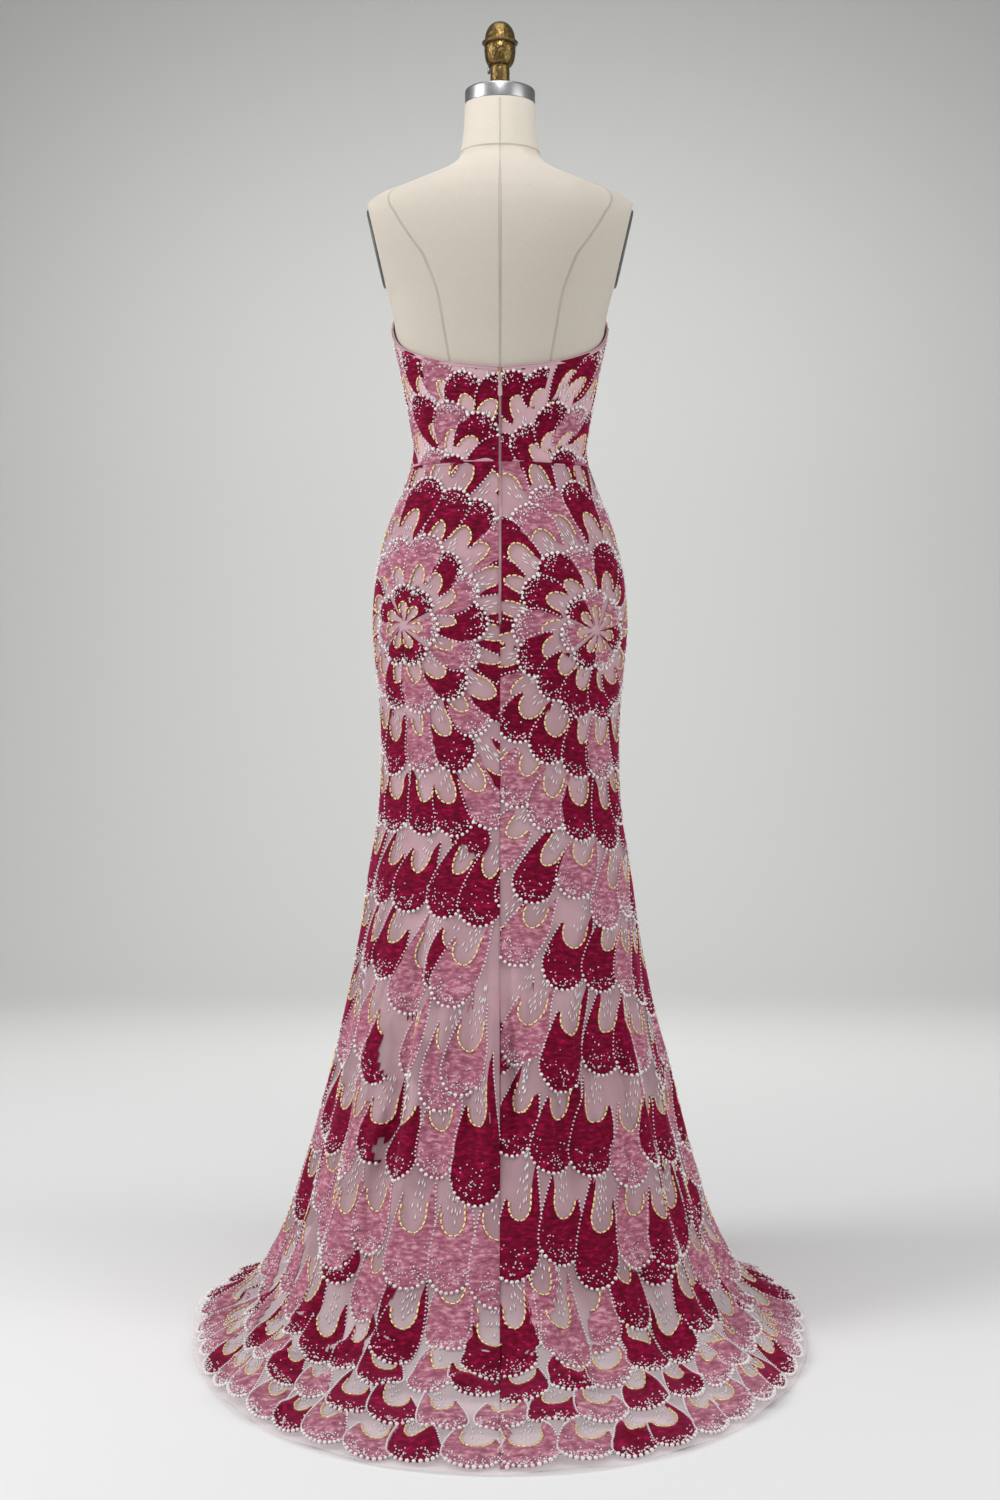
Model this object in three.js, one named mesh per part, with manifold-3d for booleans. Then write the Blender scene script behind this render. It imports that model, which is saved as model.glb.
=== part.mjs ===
// Strapless mermaid prom dress on a limbless dress form, with its pole and round base.
// Millimetres, +Z up. The origin is on the floor, under the pole.
// The back of the dress, its zip and its train face +Y, and its left side is at +X.
import * as THREE from 'three';
import { mergeVertices } from 'three/addons/utils/BufferGeometryUtils.js';
import Module from 'manifold-3d';

const wasm = await Module();
wasm.setup();

// Cloth layers, from the form outwards
const clearance = 1.2;
const liningWall = 1.0;
const layerGap = 0.4;
const netWall = 1.6;
const bodiceWall = 1.8;
const seamGap = 0.3;
const netStandOff = clearance + liningWall + layerGap;
const gownStandOff = netStandOff + netWall;

// Heights
const neckTop = 1667;
const waistSeam = 1155;
const hipHeight = 929;
const formBottom = 836;
const foldFloor = 55;

// Columns of faces round the cloth and the form
const backColumns = 24;
const frontColumns = 32;
const bodiceBackColumns = 12;
const bodiceFrontColumns = 28;
const bodiceBackRows = 5;
const bodiceFrontRows = 11;
const formColumns = 36;
const roundSides = 28;

// Zip in the centre back, from the top edge down
const zipHalfWidth = 2.2;
const zipBottom = 930;
const tapeWidth = 1.75;
const tapeThickness = 1.2;
const tapeRows = 9;
const sliderHeight = 1268;
const slider = { width: 5.4, length: 10, thickness: 2.2, slope: 0.12 };
const bridge = { width: 1.6, length: 4.6, opening: 1.8, strap: 0.9, leg: 1.0 };
const pull = { bar: 1.0, width: 6, neck: 3.8, holeWidth: 3, holeEnd: 4.2, length: 25, thickness: 1.0 };
const tapeInset = 0.2;

// Knob, collar, pole and base
const collar = { radius: 49.5, height: 21, edge: 4 };
const stemRadius = 13.5;
const knob = { bottom: 1688.6, flare: 1722, shoulder: 1746, top: 1753.4, radius: 22 };
const cap = { lip: 25.5, lipHeight: 3.6, radius: 21.5, top: 1785 };
const screw = { height: 1717, headRadius: 5, headLength: 4, slotWidth: 1, slotDepth: 1 };
const pole = { radius: 14, bottom: 6, intoForm: 60 };
const base = { radius: 200, edge: 8, rise: 14, bossRadius: 24, bossHeight: 52 };
const armPlate = { height: 112, depth: 78, thickness: 3.5, middle: 1465, gap: 0.4 };
const armFlat = { at: 1520, reach: 185, slope: 0.227, bottom: 1398, top: 1532 };

const squareness = 0.02;
const cupSpacing = 80;
const cupWidth = 44;

// The form: half width, depth to the front and to the back, and how far the cups stand out
const formTable = [
  { z: 1667, side: 49.5, front: 49, back: 49, cup: 0 },
  { z: 1640, side: 50.5, front: 50, back: 50, cup: 0 },
  { z: 1615, side: 53, front: 53, back: 52, cup: 0 },
  { z: 1598, side: 56.5, front: 57, back: 55, cup: 0 },
  { z: 1588, side: 60, front: 60, back: 58, cup: 0 },
  { z: 1574, side: 80, front: 65, back: 66, cup: 0 },
  { z: 1563, side: 107, front: 70, back: 73, cup: 0 },
  { z: 1551, side: 137, front: 76, back: 80, cup: 0 },
  { z: 1540, side: 167, front: 82, back: 86, cup: 0 },
  { z: 1526, side: 188, front: 88, back: 91, cup: 0 },
  { z: 1505, side: 197, front: 95, back: 97, cup: 0 },
  { z: 1470, side: 190, front: 102, back: 101, cup: 1 },
  { z: 1430, side: 172, front: 107, back: 101, cup: 5 },
  { z: 1395, side: 156, front: 112, back: 99, cup: 12 },
  { z: 1365, side: 149.5, front: 117, back: 96, cup: 22 },
  { z: 1335, side: 145, front: 121, back: 93, cup: 29 },
  { z: 1295, side: 135.5, front: 117, back: 90, cup: 21 },
  { z: 1267, side: 130, front: 111, back: 86, cup: 10 },
  { z: 1239, side: 125, front: 104, back: 82, cup: 3 },
  { z: 1211, side: 120, front: 97, back: 78, cup: 0 },
  { z: 1182, side: 116, front: 91, back: 75, cup: 0 },
  { z: 1155, side: 121, front: 90, back: 76, cup: 0 },
  { z: 1119, side: 134, front: 91, back: 82, cup: 0 },
  { z: 1084, side: 148.5, front: 94, back: 92, cup: 0 },
  { z: 1042, side: 161.5, front: 98, back: 104, cup: 0 },
  { z: 985, side: 171, front: 100, back: 116.5, cup: 0 },
  { z: 929, side: 173.8, front: 100.8, back: 123.8, cup: 0 },
  { z: 844, side: 165, front: 98, back: 119, cup: 0 },
  { z: 836, side: 156, front: 90, back: 110, cup: 0 },
];

// The inner face of the net below the hips, in the troughs between the folds. middle is how far back
// the ring is widest, fold is the share of their depth that the folds have there, and lining is how
// far the lining lies inside the net.
const skirtTable = [
  { z: 929, side: 176.4, front: 103.4, back: 126.4, middle: 0, fold: 1, lining: 0.4 },
  { z: 844, side: 168.5, front: 101, back: 122, middle: 0, fold: 1, lining: 0.6 },
  { z: 760, side: 164.5, front: 98, back: 122.5, middle: 0, fold: 1, lining: 1 },
  { z: 676, side: 168, front: 103, back: 132, middle: 0, fold: 1, lining: 2 },
  { z: 592, side: 179, front: 117, back: 150, middle: 0, fold: 1, lining: 4 },
  { z: 506, side: 188.5, front: 136, back: 176, middle: 0, fold: 1, lining: 7 },
  { z: 394, side: 206, front: 160, back: 214, middle: 0, fold: 1, lining: 10 },
  { z: 281, side: 228, front: 187, back: 259, middle: 2, fold: 1, lining: 12 },
  { z: 168, side: 255, front: 218, back: 313, middle: 6, fold: 1, lining: 13 },
  { z: 100, side: 274, front: 239, back: 351, middle: 12, fold: 1, lining: 12 },
  { z: 55, side: 293, front: 255, back: 381, middle: 18, fold: 1, lining: 10 },
  { z: 25, side: 315, front: 270, back: 414, middle: 28, fold: 0.95, lining: 7 },
  { z: 10, side: 342, front: 283, back: 464, middle: 40, fold: 0.8, lining: 4 },
  { z: 5, side: 368, front: 294, back: 548, middle: 52, fold: 0.62, lining: 2.5 },
  { z: 3.2, side: 391, front: 304, back: 656, middle: 62, fold: 0.45, lining: 1.6 },
  { z: 0, side: 408, front: 313, back: 756, middle: 70, fold: 0.3, lining: 1.6 },
];

// Folds that open towards the hem: where they stand round the skirt in degrees from the centre back,
// half their width in degrees, how far they stand out at the floor, and where they start.
const foldTable = [
  { at: 9, wide: 11, out: 9, top: 430 },
  { at: 28, wide: 12, out: 15, top: 560 },
  { at: 47, wide: 12, out: 24, top: 690 },
  { at: 67, wide: 11, out: 14, top: 520 },
  { at: 88, wide: 14, out: 26, top: 700 },
  { at: 112, wide: 14, out: 16, top: 540 },
  { at: 138, wide: 15, out: 19, top: 590 },
  { at: 165, wide: 16, out: 14, top: 500 },
  { at: 194, wide: 17, out: 18, top: 560 },
  { at: 222, wide: 15, out: 15, top: 520 },
  { at: 247, wide: 14, out: 18, top: 580 },
  { at: 271, wide: 14, out: 25, top: 680 },
  { at: 293, wide: 12, out: 15, top: 540 },
  { at: 312, wide: 11, out: 21, top: 640 },
  { at: 331, wide: 11, out: 12, top: 500 },
  { at: 350, wide: 12, out: 17, top: 570 },
];
const foldGrowth = 1.3;

// The top edge of the bodice, in degrees from the centre back
const topEdgeTable = [
  { at: 0, z: 1282 },
  { at: 34, z: 1293 },
  { at: 53, z: 1306 },
  { at: 72, z: 1324 },
  { at: 90, z: 1351 },
  { at: 112, z: 1378 },
  { at: 140, z: 1392 },
  { at: 160, z: 1386 },
  { at: 180, z: 1364 },
];

const degree = Math.PI / 180;

// Smooth curve through a table: the value of one column where the key column has this key
function tableValue(table, keyColumn, column, key) {
  const last = table.length - 1;
  const rising = table[last][keyColumn] > table[0][keyColumn];
  const inside = (row) => (rising ? table[row][keyColumn] < key : table[row][keyColumn] > key);
  let row = 0;
  while (row < last - 1 && inside(row + 1)) {
    row += 1;
  }
  const slopeAt = (middle) => {
    const before = table[Math.max(middle - 1, 0)];
    const after = table[Math.min(middle + 1, last)];
    return (after[column] - before[column]) / (after[keyColumn] - before[keyColumn]);
  };
  const start = table[row];
  const end = table[row + 1];
  const span = end[keyColumn] - start[keyColumn];
  const t = Math.min(Math.max((key - start[keyColumn]) / span, 0), 1);
  const rest = 1 - t;
  const startPart = rest * rest * (1 + 2 * t) * start[column];
  const endPart = t * t * (3 - 2 * t) * end[column];
  const slopePart = t * rest * span * (rest * slopeAt(row) - t * slopeAt(row + 1));
  return startPart + endPart + slopePart;
}

function formRing(z) {
  const read = (column) => tableValue(formTable, 'z', column, z);
  return { z, side: read('side'), front: read('front'), back: read('back'), cup: read('cup') };
}

function grownRing(ring, amount) {
  const grown = { side: ring.side + amount, front: ring.front + amount, back: ring.back + amount };
  return { ...ring, ...grown };
}

// A point of a ring, at an angle from the centre back towards the left side
function ringPoint(ring, angle) {
  const across = Math.sin(angle);
  const along = Math.cos(angle);
  const middle = ring.middle ?? 0;
  const depth = along > 0 ? ring.back - middle : ring.front + middle;
  const corner = 1 + squareness * Math.sin(2 * angle) ** 2;
  const point = new THREE.Vector3(ring.side * across * corner, middle + depth * along * corner, ring.z);
  if (along < 0 && ring.cup) {
    const left = Math.exp(-(((point.x - cupSpacing) / cupWidth) ** 2));
    const right = Math.exp(-(((point.x + cupSpacing) / cupWidth) ** 2));
    point.y -= ring.cup * (left + right) * Math.sqrt(-along);
  }
  return point;
}

// The skirt's rings: the upper ones stand off the form, and the lower ones are the table's own
const hipRings = formTable
  .filter((row) => row.z <= waistSeam && row.z > hipHeight)
  .map((row) => ({ ...grownRing(row, netStandOff), middle: 0, fold: 1, lining: layerGap }));
const skirtRings = [...hipRings, ...skirtTable].map((row, index) => ({ ...row, index }));
skirtRings[0].z -= seamGap / 2;
const hemIndex = skirtRings.length - 1;

function skirtRing(index) {
  const read = (column) => tableValue(skirtRings, 'index', column, index);
  const ring = { z: read('z'), side: read('side'), front: read('front'), back: read('back') };
  return { ...ring, middle: read('middle'), fold: read('fold'), lining: read('lining') };
}

// How far the folds stand out of the troughs
function foldHeight(angle, z) {
  const degrees = (((angle / degree) % 360) + 360) % 360;
  let height = 0;
  for (const fold of foldTable) {
    const away = Math.abs(((degrees - fold.at + 540) % 360) - 180);
    const grown = Math.min(Math.max((fold.top - z) / (fold.top - foldFloor), 0), 1);
    if (away < fold.wide) {
      height += fold.out * grown ** foldGrowth * Math.cos((away / fold.wide) * 90 * degree) ** 2;
    }
  }
  return height;
}

// A surface here is a function of angle and row. Its normal points out of the gown, or up on the floor.
function surfaceNormal(surface, angle, row, lastRow) {
  const step = 0.01;
  const round = surface(angle + step, row).sub(surface(angle - step, row));
  const down = surface(angle, Math.min(row + step, lastRow)).sub(surface(angle, Math.max(row - step, 0)));
  return round.cross(down).normalize();
}

function troughPoint(angle, index) {
  return ringPoint(skirtRing(index), angle);
}

// A point at a height over the troughs. The waist ring stays level.
function liftedPoint(angle, index, height) {
  const normal = surfaceNormal(troughPoint, angle, index, hemIndex);
  const point = troughPoint(angle, index).addScaledVector(normal, height);
  return index === 0 ? point.setZ(skirtRings[0].z) : point;
}

// The net's inner face is at 0 and its outer face at netWall. The lining's faces are below 0.
function netPoint(angle, index, height) {
  const ring = skirtRing(index);
  return liftedPoint(angle, index, foldHeight(angle, ring.z) * ring.fold + height);
}

function liningPoint(angle, index, depth) {
  const point = liftedPoint(angle, index, -skirtRing(index).lining - depth);
  return point.setZ(Math.max(point.z, liningWall - depth));
}

function bodicePoint(angle, share, height) {
  const fromBack = Math.abs((((angle / degree) % 360) + 540) % 360 - 180);
  const top = tableValue(topEdgeTable, 'at', 'z', fromBack);
  const bottom = waistSeam + seamGap / 2;
  const z = top + (bottom - top) * share;
  return ringPoint(grownRing(formRing(z), gownStandOff - bodiceWall + height), angle);
}

// The angle that lies this many millimetres past a seam, on the ring that a surface has in a row
function pastSeam(surface, seamAngle, row, distance) {
  const step = 0.001;
  const length = surface(seamAngle + step, row, 0).distanceTo(surface(seamAngle - step, row, 0));
  return seamAngle + (distance * 2 * step) / length;
}

function closedGeometry(points, faces) {
  const geometry = new THREE.BufferGeometry();
  const positions = points.flatMap((point) => [point.x, point.y, point.z]);
  geometry.setAttribute('position', new THREE.Float32BufferAttribute(positions, 3));
  geometry.setIndex(faces);
  geometry.computeVertexNormals();
  return geometry;
}

// A cloth wall: an outer and an inner grid of points, joined round the four edges
function wallGeometry(columns, rows, pointAt) {
  const points = [];
  const faces = [];
  for (const face of [1, 0]) {
    for (let row = 0; row <= rows; row += 1) {
      for (let column = 0; column <= columns; column += 1) {
        points.push(pointAt(column, row, face));
      }
    }
  }
  const innerStart = (columns + 1) * (rows + 1);
  const outer = (column, row) => row * (columns + 1) + column;
  const inner = (column, row) => innerStart + outer(column, row);
  const quad = (a, b, c, d) => faces.push(a, b, c, a, c, d);
  for (let row = 0; row < rows; row += 1) {
    const next = row + 1;
    for (let column = 0; column < columns; column += 1) {
      const right = column + 1;
      quad(outer(column, row), outer(right, row), outer(right, next), outer(column, next));
      quad(inner(column, row), inner(column, next), inner(right, next), inner(right, row));
    }
    quad(inner(0, row), outer(0, row), outer(0, next), inner(0, next));
    quad(outer(columns, row), inner(columns, row), inner(columns, next), outer(columns, next));
  }
  for (let column = 0; column < columns; column += 1) {
    const right = column + 1;
    quad(inner(column, 0), inner(right, 0), outer(right, 0), outer(column, 0));
    quad(outer(column, rows), outer(right, rows), inner(right, rows), inner(column, rows));
  }
  return closedGeometry(points, faces);
}

// Half the space that a back piece leaves at the centre back, where the zip is or below it
function centreBackGap(z) {
  return z >= hipHeight ? zipHalfWidth : seamGap / 2;
}

// The three pieces round the body: their two seams, the space left at each, and their columns
const pieces = [
  { name: 'back_left', from: 0, to: 90, centreFirst: true },
  { name: 'front', from: 90, to: 270 },
  { name: 'back_right', from: 270, to: 360, centreLast: true },
];

function pieceAngle(piece, share, surface, row, z) {
  const firstGap = piece.centreFirst ? centreBackGap(z) : seamGap / 2;
  const lastGap = piece.centreLast ? centreBackGap(z) : seamGap / 2;
  const from = pastSeam(surface, piece.from * degree, row, firstGap);
  const to = pastSeam(surface, piece.to * degree, row, -lastGap);
  return from + (to - from) * share;
}

function skirtPiece(piece) {
  const columns = piece.name === 'front' ? frontColumns : backColumns;
  return wallGeometry(columns, hemIndex, (column, row, outer) => {
    const angle = pieceAngle(piece, column / columns, troughPoint, row, skirtRings[row].z);
    return netPoint(angle, row, outer * netWall);
  });
}

// The lining follows the net's rings down to here, and its last rows spread to its own hem. back, side
// and front say how far its hem lies past the net's last ring but one, in rings.
const liningFollows = 14;
const liningHem = { back: 0.55, side: -0.55, front: -0.9, rows: 4 };

function liningEnd(angle) {
  const along = Math.cos(angle);
  const towards = along > 0 ? liningHem.back : liningHem.front;
  const nearness = Math.abs(along) ** 1.5;
  return hemIndex - 1 + liningHem.side + (towards - liningHem.side) * nearness;
}

function liningIndex(angle, row) {
  const start = liningFollows;
  return row <= start ? row : start + ((liningEnd(angle) - start) * (row - start)) / liningHem.rows;
}

function liningPiece(piece) {
  const columns = (piece.name === 'front' ? frontColumns : backColumns) / 2;
  return wallGeometry(columns, liningFollows + liningHem.rows, (column, row, outer) => {
    const nearAngle = piece.from * degree + ((piece.to - piece.from) * degree * column) / columns;
    const index = liningIndex(nearAngle, row);
    const angle = pieceAngle(piece, column / columns, troughPoint, index, skirtRing(index).z);
    return liningPoint(angle, index, (1 - outer) * liningWall);
  });
}

function bodicePiece(piece) {
  const isFront = piece.name === 'front';
  const columns = isFront ? bodiceFrontColumns : bodiceBackColumns;
  const rows = isFront ? bodiceFrontRows : bodiceBackRows;
  return wallGeometry(columns, rows, (column, row, outer) => {
    const angle = pieceAngle(piece, column / columns, bodicePoint, row / rows, waistSeam);
    return bodicePoint(angle, row / rows, outer * bodiceWall);
  });
}

// One half of the zip: a narrow strip beside the centre back line
function zipTape(side) {
  return wallGeometry(1, tapeRows, (column, row, outer) => {
    const top = topEdgeTable[0].z;
    const z = top + ((zipBottom - top) * row) / tapeRows;
    const ring = grownRing(formRing(z), gownStandOff - netWall + tapeInset + outer * tapeThickness);
    const near = side > 0 ? seamGap / 2 : -seamGap / 2 - tapeWidth;
    return new THREE.Vector3(near + column * tapeWidth, ring.back, z);
  });
}

// The form: rings from the neck to the hips, clamped to a flat where the arm plates lie
function armFlatReach(z) {
  return armFlat.reach - armFlat.slope * (armFlat.at - z);
}

function formPoint(row, angle) {
  const point = ringPoint(row, angle);
  if (row.z > armFlat.bottom && row.z < armFlat.top) {
    const reach = armFlatReach(row.z);
    point.x = Math.min(Math.max(point.x, -reach), reach);
  }
  return point;
}

function formGeometry() {
  const points = [];
  const faces = [];
  for (const row of formTable) {
    for (let column = 0; column < formColumns; column += 1) {
      points.push(formPoint(row, (column * 2 * Math.PI) / formColumns));
    }
  }
  const at = (row, column) => row * formColumns + (column % formColumns);
  for (let row = 0; row < formTable.length - 1; row += 1) {
    for (let column = 0; column < formColumns; column += 1) {
      faces.push(at(row, column), at(row, column + 1), at(row + 1, column + 1));
      faces.push(at(row, column), at(row + 1, column + 1), at(row + 1, column));
    }
  }
  const topCentre = points.push(new THREE.Vector3(0, 0, neckTop)) - 1;
  const bottomCentre = points.push(new THREE.Vector3(0, 0, formBottom)) - 1;
  const lastRow = formTable.length - 1;
  for (let column = 0; column < formColumns; column += 1) {
    faces.push(topCentre, at(0, column + 1), at(0, column));
    faces.push(bottomCentre, at(lastRow, column), at(lastRow, column + 1));
  }
  return closedGeometry(points, faces);
}

// Joining and cutting with manifold-3d
function toSolid(geometry) {
  const bare = geometry.clone();
  bare.deleteAttribute('normal');
  bare.deleteAttribute('uv');
  const merged = mergeVertices(bare, 1e-4);
  const vertProperties = new Float32Array(merged.attributes.position.array);
  const triVerts = new Uint32Array(merged.index.array);
  return new wasm.Manifold(new wasm.Mesh({ numProp: 3, vertProperties, triVerts }));
}

function toGeometry(solid) {
  const mesh = solid.getMesh();
  const geometry = new THREE.BufferGeometry();
  geometry.setAttribute('position', new THREE.BufferAttribute(new Float32Array(mesh.vertProperties), 3));
  geometry.setIndex(new THREE.BufferAttribute(new Uint32Array(mesh.triVerts), 1));
  geometry.computeVertexNormals();
  return geometry;
}

function placed(geometry, x, y, z) {
  return geometry.clone().translate(x, y, z);
}

// A turned solid with its axis along Z, from a profile of radius and height
function turned(profile, sides = roundSides) {
  const points = profile.map(([radius, height]) => new THREE.Vector2(radius, height));
  return new THREE.LatheGeometry(points, sides).rotateX(Math.PI / 2);
}

function upright(radius, bottom, top, sides = roundSides) {
  const geometry = new THREE.CylinderGeometry(radius, radius, top - bottom, sides);
  return geometry.rotateX(Math.PI / 2).translate(0, 0, (top + bottom) / 2);
}

const boreRadius = pole.radius + seamGap;
const poleTop = formBottom + pole.intoForm;

function torso() {
  const bore = upright(boreRadius, formBottom - 10, poleTop + seamGap, 24);
  return toGeometry(toSolid(formGeometry()).subtract(toSolid(bore)));
}

function neckCollar() {
  const bottom = neckTop + seamGap;
  const top = bottom + collar.height;
  const inner = collar.radius - collar.edge;
  const side = [[collar.radius, bottom], [collar.radius, top - collar.edge]];
  return turned([[0, bottom], ...side, [inner, top], [0, top]]);
}

function knobBody() {
  const profile = [[0, knob.bottom], [stemRadius, knob.bottom], [stemRadius, knob.flare]];
  const steps = 4;
  for (let step = 1; step <= steps; step += 1) {
    const turn = (step / steps) * 90 * degree;
    const radius = stemRadius + (knob.radius - stemRadius) * Math.sin(turn);
    profile.push([radius, knob.flare + (knob.shoulder - knob.flare) * (1 - Math.cos(turn))]);
  }
  profile.push([knob.radius, knob.top], [0, knob.top]);
  return turned(profile);
}

function knobCap() {
  const bottom = knob.top + seamGap;
  const domeStart = bottom + cap.lipHeight;
  const profile = [[0, bottom], [cap.lip, bottom], [cap.lip, domeStart - 1], [cap.lip - 1, domeStart]];
  const steps = 5;
  for (let step = 0; step < steps; step += 1) {
    const turn = (step / steps) * 90 * degree;
    profile.push([cap.radius * Math.cos(turn), domeStart + (cap.top - domeStart) * Math.sin(turn)]);
  }
  profile.push([0, cap.top]);
  return turned(profile);
}

function knobScrew() {
  const head = new THREE.CylinderGeometry(screw.headRadius, screw.headRadius, screw.headLength, 16);
  head.rotateZ(Math.PI / 2);
  const slot = new THREE.BoxGeometry(screw.slotDepth * 2, screw.headRadius * 3, screw.slotWidth);
  const cut = toSolid(head).subtract(toSolid(placed(slot, screw.headLength / 2, 0, 0)));
  return toGeometry(cut);
}

function armPlateDisc() {
  const disc = new THREE.CylinderGeometry(0.5, 0.5, armPlate.thickness, 28);
  return disc.rotateZ(Math.PI / 2).scale(1, armPlate.depth, armPlate.height);
}

function poleGeometry() {
  return upright(pole.radius, pole.bottom + seamGap, poleTop, 24);
}

function baseGeometry() {
  const bossTop = base.bossHeight;
  const profile = [[0, 0], [base.radius, 0], [base.radius, base.edge], [base.bossRadius * 1.6, base.rise]];
  profile.push([base.bossRadius, base.rise + 4], [base.bossRadius, bossTop], [0, bossTop]);
  const bore = upright(boreRadius, pole.bottom, bossTop + 10, 24);
  return toGeometry(toSolid(turned(profile)).subtract(toSolid(bore)));
}

// An outline in the YZ plane, drawn to a width along X
function extrudedAlongX(shape, width) {
  const geometry = new THREE.ExtrudeGeometry(shape, { depth: width, bevelEnabled: false, curveSegments: 6 });
  geometry.translate(0, 0, -width / 2);
  geometry.applyMatrix4(new THREE.Matrix4().makeBasis(
    new THREE.Vector3(0, 1, 0), new THREE.Vector3(0, 0, 1), new THREE.Vector3(1, 0, 0)));
  return geometry;
}

function rectangle(y0, z0, y1, z1) {
  const shape = new THREE.Shape();
  shape.moveTo(y0, z0);
  shape.lineTo(y1, z0);
  shape.lineTo(y1, z1);
  shape.lineTo(y0, z1);
  return shape;
}

// The slider: a plate over the coils, with a bridge that holds the pull. Its back lies at y = 0.
function sliderGeometry() {
  const plateHalf = slider.length / 2;
  const plate = extrudedAlongX(rectangle(0, -plateHalf, slider.thickness, plateHalf), slider.width);
  const half = bridge.length / 2;
  const inside = slider.thickness + bridge.opening;
  const arch = rectangle(slider.thickness - 0.5, -half, inside + bridge.strap, half);
  const opening = rectangle(slider.thickness, -half + bridge.leg, inside, half - bridge.leg);
  const solid = toSolid(plate).add(toSolid(extrudedAlongX(arch, bridge.width)));
  return toGeometry(solid.subtract(toSolid(extrudedAlongX(opening, bridge.width * 2))));
}

// The pull: a bar under the bridge, two arms past it and a drop-shaped plate. Its bar is at the origin.
function pullGeometry() {
  const half = pull.width / 2;
  const bar = pull.bar / 2;
  const neck = pull.neck / 2;
  const armEnd = pull.holeEnd + 0.6;
  const neckEnd = pull.holeEnd + 5;
  const outline = new THREE.Shape();
  outline.moveTo(-half, bar);
  outline.lineTo(half, bar);
  outline.lineTo(half, -armEnd);
  outline.quadraticCurveTo(neck, -armEnd - 2, neck, -neckEnd);
  outline.quadraticCurveTo(half, -neckEnd - 5, half, -pull.length + half);
  outline.quadraticCurveTo(half, -pull.length, 0, -pull.length);
  outline.quadraticCurveTo(-half, -pull.length, -half, -pull.length + half);
  outline.quadraticCurveTo(-half, -neckEnd - 5, -neck, -neckEnd);
  outline.quadraticCurveTo(-neck, -armEnd - 2, -half, -armEnd);
  const hole = new THREE.Path();
  const holeHalf = pull.holeWidth / 2;
  hole.moveTo(-holeHalf, -bar);
  hole.lineTo(-holeHalf, -pull.holeEnd);
  hole.lineTo(holeHalf, -pull.holeEnd);
  hole.lineTo(holeHalf, -bar);
  outline.holes.push(hole);
  const settings = { depth: pull.thickness, bevelEnabled: false, curveSegments: 5 };
  const geometry = new THREE.ExtrudeGeometry(outline, settings).translate(0, 0, -pull.thickness / 2);
  return geometry.rotateX(Math.PI / 2);
}

const finishes = {
  net: { color: 0xc9a0aa, roughness: 0.6, metalness: 0 },
  satin: { color: 0xd9aab4, roughness: 0.4, metalness: 0 },
  zip: { color: 0xd9a6ae, roughness: 0.5, metalness: 0.2 },
  linen: { color: 0xd6cdbd, roughness: 0.9, metalness: 0 },
  steel: { color: 0x9c9a96, roughness: 0.35, metalness: 1 },
  gold: { color: 0x9b7a3a, roughness: 0.4, metalness: 1 },
  plate: { color: 0x7f857f, roughness: 0.5, metalness: 0.3 },
  iron: { color: 0x2b2b2d, roughness: 0.5, metalness: 0.4 },
};

function part(name, geometry, finish) {
  const mesh = new THREE.Mesh(geometry, new THREE.MeshStandardMaterial(finishes[finish]));
  mesh.name = name;
  return mesh;
}

function gown() {
  const group = new THREE.Group();
  for (const piece of pieces) {
    group.add(part(`bodice_${piece.name}`, bodicePiece(piece), 'net'));
    group.add(part(`skirt_${piece.name}`, skirtPiece(piece), 'net'));
    group.add(part(`lining_${piece.name}`, liningPiece(piece), 'satin'));
  }
  group.add(part('zip_tape_left', zipTape(1), 'satin'));
  group.add(part('zip_tape_right', zipTape(-1), 'satin'));
  return group;
}

// The slider lies on the sloping back, and the pull hangs straight down from its bridge
function zipPull() {
  const group = new THREE.Group();
  const seat = formRing(sliderHeight).back + gownStandOff + seamGap;
  const sliderMesh = part('zip_slider', sliderGeometry(), 'zip');
  sliderMesh.position.set(0, seat, sliderHeight);
  sliderMesh.rotation.x = -slider.slope;
  const barOut = slider.thickness + bridge.opening / 2;
  const barRise = -barOut * Math.sin(slider.slope);
  const pullMesh = part('zip_pull', pullGeometry(), 'zip');
  pullMesh.position.set(0, seat + barOut * Math.cos(slider.slope), sliderHeight + barRise);
  group.add(sliderMesh, pullMesh);
  return group;
}

function dressForm() {
  const group = new THREE.Group();
  group.add(part('form_torso', torso(), 'linen'));
  group.add(part('form_collar', neckCollar(), 'steel'));
  group.add(part('form_knob', knobBody(), 'gold'));
  group.add(part('form_knob_cap', knobCap(), 'gold'));
  const clamp = part('form_knob_screw', knobScrew(), 'steel');
  clamp.position.set(stemRadius + seamGap + screw.headLength / 2, 0, screw.height);
  group.add(clamp);
  for (const [name, side] of [['left', 1], ['right', -1]]) {
    const plate = part(`form_arm_plate_${name}`, armPlateDisc(), 'plate');
    const reach = armFlatReach(armPlate.middle) + armPlate.gap + armPlate.thickness / 2;
    plate.position.set(side * reach, 0, armPlate.middle);
    plate.rotation.y = side * Math.atan(armFlat.slope);
    group.add(plate);
  }
  group.add(part('form_pole', poleGeometry(), 'steel'));
  group.add(part('form_base', baseGeometry(), 'iron'));
  return group;
}

const dressOnForm = new THREE.Group();
dressOnForm.add(gown(), zipPull(), dressForm());

export default dressOnForm;
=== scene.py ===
"""Looks of a strapless mermaid prom dress on a dress form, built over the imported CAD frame.

Sizes are in millimetres until a mesh is made. The origin is on the floor under the pole and +Z is up.
The back of the dress, its zip and its train face +Y, and its left side is at +X. Angles start at the
centre back and grow towards the left side. The tables of the form and the skirt are the CAD's own.
"""
import math

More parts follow.
